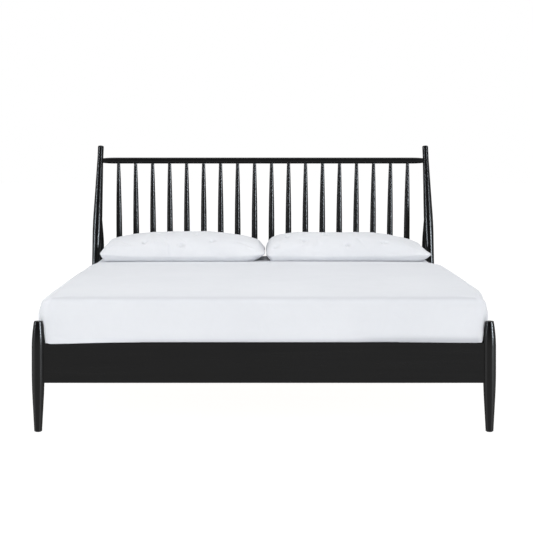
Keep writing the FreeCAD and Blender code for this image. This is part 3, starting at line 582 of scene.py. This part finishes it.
def coverEdges(x, y, nx, ny):
    # one value for each point of the outline: how far the cover stands out at its top and at the rail, how
    # round its edges are, how far it slants and how far it hangs over. They change round the bed.
    s = coverSet
    run = y - legY
    right = ease(x, -s["middleBlend"], s["middleBlend"])
    side = np.abs(nx) ** 1.2
    free = 1 - ease(run, *s["headRun"])
    far = ease(run, *s["cornerRun"])
    narrow = ease(run, *s["narrowRun"])
    leftOut = s["leftFront"] + (s["leftOut"] - s["leftFront"]) * far - s["leftHeadIn"] * narrow
    rightOut = s["rightFront"] + (s["rightOut"] - s["rightFront"]) * far - s["rightHeadIn"] * narrow
    rightLow = s["rightFront"] + (s["rightLow"] - s["rightFront"]) * far
    hang = sum(drop * np.exp(-((x - at) / wide) ** 2) for at, wide, drop in s["droops"])
    over = 1 - np.exp(-hang / s["hangSoft"])
    tuck = s["tuckOut"] + s["tuckIn"]
    out = s["footOut"] + (leftOut + (rightOut - leftOut) * right - s["footOut"]) * side
    out = tuck + (out - tuck) * free
    footLow = s["footLow"] + s["overRail"] * over
    lowOut = footLow + (leftOut + (rightLow - leftOut) * right - footLow) * side
    lowOut = tuck + (lowOut - tuck) * free
    pastRail = (y - railLow[1] + s["pastRail"]) / np.maximum(-ny, 0.3)
    lowOut = lowOut + np.maximum(pastRail - lowOut, 0) * over * ease(-ny, 0.6, 0.8)
    # it hangs only where it reaches past the rail's outer face, short of the legs
    reach = clearOfLegs(x, y, nx, ny, railHigh[2] + 0 * x, lowOut)
    hang = hang * ease(railLow[1] - y - reach * ny, -0.0004, 0.0004) * ease(-ny, 0.3, 0.6)
    rollRight = s["rollCorner"] + (s["rollRight"] - s["rollCorner"]) * far
    roll = s["rollLeft"] + (rollRight - s["rollLeft"]) * right
    roll = s["rollFoot"] + (roll - s["rollFoot"]) * side
    roll = roll + (s["rollHead"] - roll) * ease(run, *s["rollRun"])
    toRight = np.maximum(ease(x, *s["hemRollFrom"]), side)
    hemRoll = (s["hemRoll"] + (s["hemRollRight"] - s["hemRoll"]) * toRight) * (0.3 + 0.7 * free)
    # the sides slant outward below their rolled edges, the right one only at the foot corner
    slant = (s["cornerSlantLeft"] + (s["leftSlant"] - s["cornerSlantLeft"]) * far) * (1 - right)
    slant = (slant + s["cornerSlantRight"] * (1 - far) * right) * side * free
    return {"out": out, "lowOut": lowOut, "roll": roll, "hemRoll": hemRoll, "hang": hang, "slant": slant,
            "free": free, "side": side, "foot": np.maximum(-ny, 0) ** 2}


def coverWall(x, y, nx, ny, edges, turn, rail):
    # the wall's profile as offsets outward and heights: a quarter circle for the rolled edge, a bellied wall
    # whose offset grows with a power of its depth, a turn under the hem, back up to the rail, in along the
    # rail's top and down inside it
    s = coverSet
    out, lowOut, roll, hemRoll, hang, slant, free, side, foot = edges.values()
    step = np.hypot(np.diff(x, append=x[0]), np.diff(y, append=y[0]))
    arc = np.cumsum(step) / step.sum() * 2 * math.pi
    waves = sum(share * np.sin(arc * count + phase) for count, phase, share in s["waves"])
    wallTop = s["top"] - s["crown"] - roll
    wallLow = rail - hang + hemRoll

    zEdge = wallTop + roll * np.cos(turn)
    offEdge = clearOfLegs(x, y, nx, ny, zEdge, out - slant - roll + roll * np.sin(turn))

    wall = (1 - (1 - np.linspace(0, 1, s["wallRings"])) ** 1.25)[1:][:, None]
    zWall = wallTop + (wallLow - wallTop) * wall
    offWall = out + (lowOut - out) * wall ** 1.5 - slant * np.maximum(1 - wall / s["slantShare"], 0) ** 2
    offWall = offWall + s["ripple"] * waves * np.sin(math.pi * wall) * free * (0.35 + 0.65 * side)
    for x0, z0, x1, z1, wide, high in s["creases"]:
        offWall = offWall + high * lineFade(x, zWall, x0, z0, x1, z1, wide) * foot
    offWall = clearOfLegs(x, y, nx, ny, zWall, offWall)

    low = offWall[-1:]
    fold = np.minimum(s["fold"], 0.3 * np.maximum(low - s["tuckOut"], 0.0))
    quarter = np.linspace(0, math.pi / 2, 6)[1:][:, None]
    offHem = low - fold * (1 - np.cos(quarter))
    zHem = rail - hang + hemRoll * (1 - np.sin(quarter))
    up = np.linspace(0, 1, 4)[1:][:, None]
    offUp, zUp = low - fold + 0 * up, rail - hang + hang * up
    bend = np.minimum(s["tuckBend"], 0.3 * np.maximum(low - fold - s["tuckOut"], 0.0))
    back = np.linspace(0, 1, 7)[1:][:, None]
    offBack, zBack = low - fold + (s["tuckOut"] + bend - low + fold) * back, rail + 0 * low * back
    offBend = s["tuckOut"] + bend * (1 - np.sin(quarter))
    zBend = rail - bend * (1 - np.cos(quarter))
    drop = np.linspace(0, 1, 8)[1:][:, None]
    offTuck = s["tuckOut"] + 0 * low * drop
    zTuck = (rail - bend) + (s["hem"] - rail + bend) * drop
    off = np.concatenate([offEdge, offWall, offHem, offUp, offBack, offBend, offTuck])
    return off, np.concatenate([zEdge, zWall, zHem, zUp, zBack, zBend, zTuck])


def coverTop(rimX, rimY, y):
    # from the middle line out to the rim, closer together near the rim: crowned a little, with the
    # mattress's bead felt through it and long shallow waves. Also how deep inside the outline each point is.
    s = coverSet
    share = 1 - (1 - np.linspace(0, 1, s["topRings"], endpoint=False)[:, None]) ** s["gather"]
    midY = np.clip(y, matLow[1] + s["middle"], matHigh[1] - s["middle"])
    x, y = share * rimX, midY + share * (rimY - midY)
    depth = depthInside(x, y, matLow[0], matHigh[0], matLow[1], matHigh[1], s["corner"])
    fall = s["crown"] * (1 - ease(depth, -0.03, 0.30))
    slow = sum(part * np.sin(x * across + y * along + phase) for across, along, phase, part in s["topWaves"])
    groove = s["ridgeDepth"] * np.exp(-((depth - s["ridgeIn"]) / s["ridgeWide"]) ** 2)
    return x, y, s["top"] - fall - groove - s["topWave"] * (1 + slow * ease(depth, 0.0, 0.2)), depth


def coverPaintedShade(x, edges, turn, depth, above):
    # painted shade of the foot end: darkest in a band at the rolled edge and in painted shadow at the hem
    # above the rail, with a bell curve's fall from both
    s = coverSet
    ahead = ease(edges["foot"], 0.75, 1.0)
    rim = (edges["roll"] - edges["out"])[None, :]
    hemShadowRight = ease(x, *s["hemShadowRightFrom"])
    hem = s["hemShadowMiddle"] * ease(x, *s["hemShadowFrom"]) + (s["hemShadowRight"] - s["hemShadowMiddle"]) * hemShadowRight
    fade = s["hemShadowFade"] + (s["hemShadowFadeRight"] - s["hemShadowFade"]) * hemShadowRight
    # painted shade: a darker band on the top and on the turn of the rolled edge
    tones = [s["rollShade"] * np.exp(-((depth - rim) / s["rollShadeWide"]) ** 2),
             s["rollShade"] * np.exp(-((turn - s["rollShadeTurn"]) / s["rollShadeTurnWide"]) ** 2) + 0 * x,
             # painted shadow above the rail, growing to the right
             hem * np.exp(-(np.maximum(above - s["hemShadowStart"], 0) / fade) ** 2)]
    return np.concatenate(tones) * ahead


def bedCover():
    # the mattress outline carries the wall's profile, and the top is drawn in from the wall's first ring
    s = coverSet
    x, y, nx, ny = roundedOutline(matLow[0], matHigh[0], matLow[1], matHigh[1], s["corner"], s["around"])
    edges = coverEdges(x, y, nx, ny)
    turn = np.linspace(0, math.pi / 2, s["edgeRings"])[:, None]
    rail = railHigh[2] + s["railGap"]
    off, z = coverWall(x, y, nx, ny, edges, turn, rail)
    wallX, wallY = x + off * nx, y + off * ny
    topX, topY, topZ, depth = coverTop(wallX[:1], wallY[:1], y)
    points = np.stack([np.concatenate([topX, wallX]), np.concatenate([topY, wallY]),
                       np.concatenate([topZ, z])], axis=-1)
    # painted shade and painted shadow of the foot end, carried in the "seam" attribute
    seam = coverPaintedShade(x, edges, turn, depth, z[len(turn):] - rail)
    quads = gridQuads(len(points), len(x), True)
    piece = makePiece("bedCover", points, quads, coverMaterial, marks={"seam": seam})
    cloth = piece.modifiers.new("cloth", "SOLIDIFY")
    cloth.thickness = s["cloth"]
    cloth.offset = -1.0
    return piece


cover = bedCover()
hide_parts("bed_cover")
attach(cover, "made_up_mattress")
print("bed cover made")


# Per pillow: x and y on the bed, height of its seam and its rise above that; per end the power and bluntness
# of its fall and how much its corners are cut; dents at (s, t), folds from (s, t) to (s, t), width and depth.
# s runs from -1 at the left end to 1, t from -1 at the front to 1.
pillowShapes = {
    "pillowLeft": {
        "node": "pillow_left", "x": (-0.889, 0.0305), "y": (1.600, 2.044), "seam": 0.584, "rise": 0.117,
        "leftEnd": (2.5, 0.43, 0.010), "rightEnd": (2.8, 0.48, 0.030), "lift": (0.017, 0.012),
        "under": (0.07, 0.34), "draw": 0.014, "crownShift": 0.16, "phase": 0.0, "reach": (-0.889, 0.0148),
        "dents": [(-0.45, -0.60), (-0.02, -0.72), (0.15, -0.20), (0.34, -0.55), (-0.86, -0.70),
                  (-0.30, -0.10)],
        "folds": [(-0.27, -0.40, -0.10, -0.90, 0.030, 0.0045), (-0.38, -0.30, -0.30, -0.92, 0.022, -0.0030),
                  (-0.20, -0.45, -0.17, -0.95, 0.020, -0.0028), (0.40, -0.86, 0.56, -0.99, 0.022, 0.0045),
                  (0.62, -0.50, 0.90, -0.80, 0.030, 0.0030), (-0.60, -0.70, -0.82, -0.30, 0.028, 0.0028),
                  (0.05, 0.20, 0.40, 0.55, 0.040, 0.0030), (-0.10, -0.30, 0.10, -0.78, 0.026, 0.0026)],
    },
    "pillowRight": {
        "node": "pillow_right", "x": (-0.0025, 0.9165), "y": (1.624, 2.044), "seam": 0.583, "rise": 0.114,
        "leftEnd": (5.0, 0.38, 0.020), "rightEnd": (2.6, 0.72, 0.004), "lift": (0.006, 0.015),
        "under": (0.09, 0.22), "draw": 0.014, "crownShift": 0.16, "phase": 2.1, "reach": (0.0166, 0.9165),
        "dents": [(-0.25, -0.20), (0.0, -0.70), (0.43, -0.58), (-0.70, -0.28), (-0.50, -0.50),
                  (-0.85, -0.75)],
        "folds": [(-0.54, -0.40, -0.48, -0.85, 0.026, 0.0040), (0.46, -0.90, 0.66, -0.99, 0.022, 0.0050),
                  (-0.62, -0.99, -0.30, -0.90, 0.022, 0.0045), (-0.36, -0.50, -0.40, -0.90, 0.020, -0.0028),
                  (-0.80, -0.55, -0.92, -0.10, 0.030, 0.0035), (0.70, -0.45, 0.93, -0.75, 0.026, 0.0028),
                  (0.10, -0.35, 0.22, -0.80, 0.026, 0.0026), (-0.05, 0.25, 0.35, 0.45, 0.040, 0.0028)],
    },
}
pillowMake = {
    "grid": 150, "rise": (2.1, 0.62), "underPower": 14, "rest": 0.5572, "sink": 0.008, "shrink": 0.006,
    "voxel": 0.0060, "pressure": 4.0, "frames": 20, "cap": 0.009,
    "mass": 0.25, "stiffness": 18, "bending": 0.25,
    # the dents' painted shade: how much, and how fast it falls off
    "dentDepth": 0.0125, "dentSize": 0.052, "dentNarrow": 0.55, "dentShade": 0.26, "dentShadeFall": 1.6,
    "foldDepth": 1.5, "foldWidth": 1.9, "seamRidge": 0.0020, "seamReach": 0.006,
    # puckers that fan in from the seam: pitch, start, turns of the pillow's phase, share
    "puckers": [(0.052, 0.0, 1, 0.5), (0.031, 0.0, 2, 0.3), (0.083, 1.0, 1, 0.5)],
    "puckerDepth": 0.0016, "puckerReach": 0.10, "slowDepth": 0.0022, "fineDepth": 0.0009,
    # where it stops: short of the spindles, and beside the posts over their stretch of the bed
    "backStop": 2.0465, "post": (1.72, 1.82), "besidePost": 0.8968, "beforePost": 0.03,
}


def pillowPoint(p, s, t, top):
    # (s, t) runs over the flat pillow from -1 to 1. The plan is drawn in along its sides and rounded at
    # the corners; the height over the seam is a product of two falls, one along and one across. Below the
    # seam it drops straight, a little deeper than it will rest, and rises again towards each end.
    x0, x1 = p["x"]
    y0, y1 = p["y"]
    right = s > 0
    power = np.where(right, p["rightEnd"][0], p["leftEnd"][0])
    blunt = np.where(right, p["rightEnd"][1], p["leftEnd"][1])
    cut = np.where(right, p["rightEnd"][2], p["leftEnd"][2])
    lift = np.where(right, p["lift"][1], p["lift"][0])
    halfX, halfY = (x1 - x0) / 2, (y1 - y0) / 2
    x = s * (halfX - p["draw"] * (1 - t ** 2)) - np.sign(s) * cut * np.abs(t) ** 5 * np.abs(s) ** 3
    y = t * (halfY - p["draw"] * (1 - s ** 2)) - np.sign(t) * cut * 0.8 * np.abs(s) ** 6 * np.abs(t) ** 3
    along = np.maximum(1 - np.abs(s) ** power, 0) ** blunt
    seam = p["seam"] + lift * np.abs(s) ** 4
    if top:
        skew = t - p["crownShift"] * (1 - t ** 2)
        across = np.maximum(1 - np.abs(skew) ** pillowMake["rise"][0], 0) ** pillowMake["rise"][1]
        z = seam + p["rise"] * along * across
    else:
        under = np.where(right, p["under"][1], p["under"][0])
        across = np.maximum(1 - np.abs(t) ** pillowMake["underPower"], 0) ** 0.5
        ends = 1 - np.clip((np.abs(s) - 1 + under) / under, 0, 1) ** 1.6
        z = seam - (seam - pillowMake["rest"] + pillowMake["sink"]) * across * ends
    return x + (x0 + x1) / 2, y + (y0 + y1) / 2 + legY, z


def pillowForm(name, p):
    # two sheets over the same (s, t) square, sewn together round the rim
    line = np.sin(np.linspace(-1, 1, pillowMake["grid"]) * math.pi / 2)
    s, t = np.meshgrid(line, line)
    top = np.stack(pillowPoint(p, s, t, True), axis=-1)
    low = np.stack(pillowPoint(p, s, t, False), axis=-1)
    top[..., 2] -= pillowMake["shrink"] * (1 - np.abs(s) ** 8) * (1 - np.abs(t) ** 8)
    n = len(line)
    quads = gridQuads(n, n, False)
    points = np.concatenate([top.reshape(-1, 3), low.reshape(-1, 3)])
    return makePiece(name, points, np.concatenate([quads, quads[:, ::-1] + n * n]), pillowMaterial, 1e-4)


def vertsOf(mesh):
    values = np.empty(len(mesh.vertices) * 3)
    mesh.vertices.foreach_get("co", values)
    return values.reshape(-1, 3)


def setVerts(mesh, values):
    mesh.vertices.foreach_set("co", values.ravel())
    mesh.update()


def applyAll(piece):
    # the piece's mesh becomes what its modifiers made of it
    seen = piece.evaluated_get(bpy.context.evaluated_depsgraph_get())
    mesh = bpy.data.meshes.new_from_object(seen)
    piece.modifiers.clear()
    old = piece.data
    piece.data = mesh
    bpy.data.meshes.remove(old)


def inflate(piece):
    # even mesh, then air pressed into the cloth; no point goes further than the cap
    m = pillowMake
    remesh = piece.modifiers.new("even", "REMESH")
    remesh.mode = "VOXEL"
    remesh.voxel_size = m["voxel"]
    applyAll(piece)
    before = vertsOf(piece.data)
    cloth = piece.modifiers.new("air", "CLOTH")
    cloth.settings.quality = 5
    cloth.settings.mass = m["mass"]
    cloth.settings.use_pressure = True
    cloth.settings.uniform_pressure_force = m["pressure"]
    cloth.settings.tension_stiffness = m["stiffness"]
    cloth.settings.compression_stiffness = m["stiffness"]
    cloth.settings.bending_stiffness = m["bending"]
    cloth.settings.effector_weights.gravity = 0.0
    cloth.collision_settings.use_collision = False
    cloth.point_cache.frame_start = 1
    cloth.point_cache.frame_end = m["frames"]
    for step in range(1, m["frames"] + 1):
        bpy.context.scene.frame_set(step)
    seen = piece.evaluated_get(bpy.context.evaluated_depsgraph_get())
    after = vertsOf(seen.data)
    piece.modifiers.clear()
    bpy.context.scene.frame_set(1)
    move = after - before
    size = np.linalg.norm(move, axis=1, keepdims=True)
    setVerts(piece.data, before + move * np.minimum(1.0, m["cap"] / np.maximum(size, 1e-9)))


def foldLines(s, t, folds):
    # creases and ridges along lines of the flat pillow: bell curves across, fading at both ends. Lengths
    # along the pillow count twice, as it is about twice as wide as it is deep.
    m = pillowMake
    total = 0 * s
    for s0, t0, s1, t1, wide, high in folds:
        runS, runT = (s1 - s0) * 2.0, t1 - t0
        span = runS ** 2 + runT ** 2
        share = np.clip(((s - s0) * 2.0 * runS + (t - t0) * runT) / span, 0, 1)
        gap = np.hypot((s - s0) * 2.0 - share * runS, (t - t0) - share * runT)
        fade = np.sin(math.pi * (0.12 + 0.76 * share))
        total = total + m["foldDepth"] * high * np.exp(-(gap / wide / m["foldWidth"]) ** 2) * fade
    return total


def settle(points, p):
    # it lies on the cover, short of the spindles, its neighbour and, towards the back, the posts
    m = pillowMake
    points[:, 2] = np.maximum(points[:, 2], m["rest"])
    points[:, 1] = np.minimum(points[:, 1], legY + m["backStop"])
    points[:, 0] = np.clip(points[:, 0], *p["reach"])
    room = m["besidePost"] + m["beforePost"] * (1 - ease(points[:, 1] - legY, *m["post"]))
    points[:, 0] = np.clip(points[:, 0], -room, room)


def dress(piece, p):
    # along each point's normal: a seam ridge, sine puckers that fade inward from it, slow and fine waves as
    # products of two sines, folds, and dents as bell curves, which also get painted shade
    m = pillowMake
    points = vertsOf(piece.data)
    x0, x1 = p["x"]
    y0, y1 = p["y"]
    s = (points[:, 0] - (x0 + x1) / 2) / ((x1 - x0) / 2)
    t = (points[:, 1] - legY - (y0 + y1) / 2) / ((y1 - y0) / 2)
    normals = np.empty(len(points) * 3)
    piece.data.vertices.foreach_get("normal", normals)
    normals = normals.reshape(-1, 3)
    seam = p["seam"] + np.where(s > 0, p["lift"][1], p["lift"][0]) * np.abs(s) ** 4
    outer = np.maximum(np.abs(s), np.abs(t))
    near = np.exp(-((points[:, 2] - seam) / m["seamReach"]) ** 2) * ease(outer, 0.80, 0.93)
    place = np.where(np.abs(s) > np.abs(t), points[:, 1], points[:, 0])
    ph = p["phase"]
    pucker = sum(share * np.sin(place * 2 * math.pi / pitch + start + turns * ph)
                 for pitch, start, turns, share in m["puckers"])
    upper = ease(points[:, 2] - seam, 0.0, 0.02)
    inward = np.exp(-np.abs(1 - outer) / m["puckerReach"])
    amount = m["seamRidge"] * near + m["puckerDepth"] * pucker * inward * (0.4 + 0.6 * upper)
    slow = np.sin(s * 6.1 + t * 2.3 + ph) * np.sin(t * 4.7 - s * 2.2 + 1.1 + ph)
    fine = np.sin(s * 21.0 + t * 9.0 + ph) * np.sin(t * 17.0 - s * 8.0 + ph)
    amount = amount + m["slowDepth"] * slow * upper * ease(1 - outer, 0.0, 0.25)
    amount = amount + m["fineDepth"] * fine * upper * ease(1 - outer, 0.0, 0.2)
    amount = amount - foldLines(s, t, p["folds"]) * upper
    tone = 0 * s
    for ds, dt in p["dents"]:
        away = ((s - ds) / (m["dentSize"] * m["dentNarrow"])) ** 2 + ((t - dt) / m["dentSize"]) ** 2
        amount = amount - m["dentDepth"] * np.exp(-away) * upper
        # painted shade in each dent
        tone = tone + m["dentShade"] * np.exp(-away * m["dentShadeFall"]) * upper
    piece.data.attributes.new("seam", "FLOAT", "POINT").data.foreach_set("value", tone)
    points = points + normals * amount[:, None]
    settle(points, p)
    setVerts(piece.data, points)


for name, p in pillowShapes.items():
    piece = pillowForm(name, p)
    inflate(piece)
    dress(piece, p)
    piece.data.polygons.foreach_set("use_smooth", np.ones(len(piece.data.polygons), dtype=bool))
    if not piece.data.materials:
        piece.data.materials.append(pillowMaterial)
    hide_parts(p["node"])
    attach(piece, p["node"])
    print(name, "made,", len(piece.data.vertices), "points")


roomSet = {
    "floor": colour(0.140, 0.140, 0.140), "floorPale": colour(0.150, 0.150, 0.150), "glow": 0.93,
    "size": 60.0, "under": 0.0002, "seen": 1.0, "sides": 0.34, "ceiling": 1.03, "behind": 0.12,
    # what the lacquer mirrors below the horizon, and a glow under each strip: where, how wide, how bright
    "lowFront": 1.0, "lowBack": 0.06, "lowDown": 0.65,
    "glowLeft": (-0.92, 0.12, 0.8), "glowRight": (0.78, 0.16, 1.5),
}


def paleFloor():
    shade = Shade("paleFloor")
    tone = shade.noise(shade.place(), 0.6, 2.0, 0.5)
    made = shade.finish({
        "Base Color": shade.tint(tone, roomSet["floor"], roomSet["floorPale"]), "Roughness": 0.9,
        "Specular IOR Level": 0.1, "Emission Color": colour(1, 1, 1), "Emission Strength": roomSet["glow"],
    })
    line = np.linspace(-roomSet["size"] / 2, roomSet["size"] / 2, 9)
    x, y = np.meshgrid(line, line)
    points = np.stack([x, y, 0 * x - roomSet["under"]], axis=-1)
    floor = makePiece("paleFloor", points, gridQuads(9, 9, False), made)
    if floor.data.polygons[0].normal.z < 0:
        floor.data.flip_normals()
    floor.visible_glossy = False  # what the lacquer mirrors below the horizon is set in whiteRoom


def softbox(name, at, aim, size, watts, tint=(1.0, 1.0, 1.0), strip=False):
    # an area lamp turned from its place to its aim
    light = bpy.data.lights.new(name, "AREA")
    light.shape = "RECTANGLE"
    light.size, light.size_y = size
    light.energy = watts
    light.color = tint
    lamp = bpy.data.objects.new(name, light)
    lamp.location = at
    way = np.array(aim) - np.array(at)
    flat = math.hypot(way[0], way[1])
    lamp.rotation_euler = (math.atan2(flat, -way[2]), 0, math.atan2(-way[0], way[1]))
    lamp.visible_glossy = strip
    lamp.visible_diffuse = not strip
    bpy.context.scene.collection.objects.link(lamp)


def hump(value, middle, half, high):
    # a parabola: high at the middle, 0 from half a width away
    return (1.0 - ((value - middle) / half) ** 2.0).most(0.0) * high


def whiteRoom():
    # what lights the bed: bright ceiling, dimmer sides, darkest behind the foot end, where the studio is
    # open. What is seen behind the bed is plain white.
    s = roomSet
    shade = Shade("whiteRoom", bpy.data.worlds)
    x, y, z = shade.axes(shade.node("ShaderNodeTexCoord").outputs["Generated"])
    tone = shade.tint(shade.between(z, 0.1, 0.8), colour(*[s["sides"]] * 3), colour(*[s["ceiling"]] * 3))
    tone = shade.tint(shade.between(y, -0.75, -0.15), colour(*[s["behind"]] * 3), tone)
    # below the horizon only reflections see it: bright in front, dark behind, a glow under each strip
    low = s["lowFront"] + (s["lowBack"] - s["lowFront"]) * shade.between(y, 0.1, 0.9)
    glow = hump(x, *s["glowLeft"]) + hump(x, *s["glowRight"])
    low = low + glow * shade.between(y, 0.05, -0.05)
    low = low * (1.0 - s["lowDown"] * shade.between(z, -0.35, -0.80))  # darker straight down
    lowTone = shade.node("ShaderNodeCombineXYZ", {}, {0: low, 1: low, 2: low}).outputs[0]
    tone = shade.tint(shade.between(z, 0.015, -0.03), tone, lowTone)
    lit = shade.node("ShaderNodeBackground", {}, {"Color": tone, "Strength": 1.0})
    seen = shade.node("ShaderNodeBackground", {}, {"Color": colour(1, 1, 1), "Strength": s["seen"]})
    direct = shade.node("ShaderNodeLightPath").outputs["Is Camera Ray"]
    both = shade.node("ShaderNodeMixShader", {}, {0: direct, 1: lit.outputs[0], 2: seen.outputs[0]})
    shade.node("ShaderNodeOutputWorld", {}, {"Surface": both.outputs[0]})
    bpy.context.scene.world = shade.material


# plain lamps light the bed and show in no reflection, and strips show only as long highlights on the lacquer
lampSet = {
    "keyBox": {"at": (-2.4, -5.2, 2.6), "aim": (0, 0.2, 0.4), "size": (2.4, 2.0), "watts": 116.0,
               "tint": (1.0, 0.992, 0.975)},
    "fillBox": {"at": (2.6, -5.0, 2.2), "aim": (0, 0.2, 0.4), "size": (2.2, 1.8), "watts": 64.0,
                "tint": (1.0, 0.992, 0.98)},
    "bedBox": {"at": (0.0, -0.9, 3.0), "aim": (0, 0.9, 0.65), "size": (2.6, 1.2), "watts": 13.0},
    "headBox": {"at": (0.3, 0.35, 2.4), "aim": (0.08, 0.8, 0.6), "size": (2.2, 0.7), "watts": 5.2},
    "sideLeft": {"at": (-4.6, -1.4, 1.5), "aim": (-0.9, -0.4, 0.45), "size": (1.6, 1.6), "watts": 30.0},
    "sideRight": {"at": (4.6, -1.4, 1.5), "aim": (0.9, -0.4, 0.45), "size": (1.6, 1.6), "watts": 24.0},
    "stripLeft": {"at": (-10.0, -4.0, 4.0), "aim": (-0.4, 0, 1.6), "size": (1.2, 4.6), "watts": 1300.0,
                  "tint": (0.84, 0.92, 1.0), "strip": True},
    "stripRight": {"at": (8.6, -6.8, 3.4), "aim": (0.4, 0, 1.6), "size": (1.2, 6.8), "watts": 3300.0,
                   "tint": (0.84, 0.92, 1.0), "strip": True},
}

paleFloor()
whiteRoom()
for name, lamp in lampSet.items():
    softbox(name, **lamp)
bpy.context.scene.view_settings.view_transform = "Standard"
bpy.context.scene.view_settings.look = "None"

# metres from the front leg axes, degrees down from level, lens in millimetres on its sensor's width
cameraSet = {
    "behind": 5.34105, "across": -0.01265, "up": 1.2022, "down": 5.497, "shift": 0.0107, "lens": 88.35,
    "sensor": 36.0,
}
lens = bpy.data.cameras.new("photoCamera")
lens.lens = cameraSet["lens"]
lens.sensor_fit = "HORIZONTAL"
lens.sensor_width = cameraSet["sensor"]
lens.shift_x = cameraSet["shift"]
camera = bpy.data.objects.new("photoCamera", lens)
camera.location = (cameraSet["across"], legY - cameraSet["behind"], cameraSet["up"])
camera.rotation_euler = (math.radians(90 - cameraSet["down"]), 0, 0)
bpy.context.scene.collection.objects.link(camera)
bpy.context.scene.camera = camera
print("room, light and camera set")
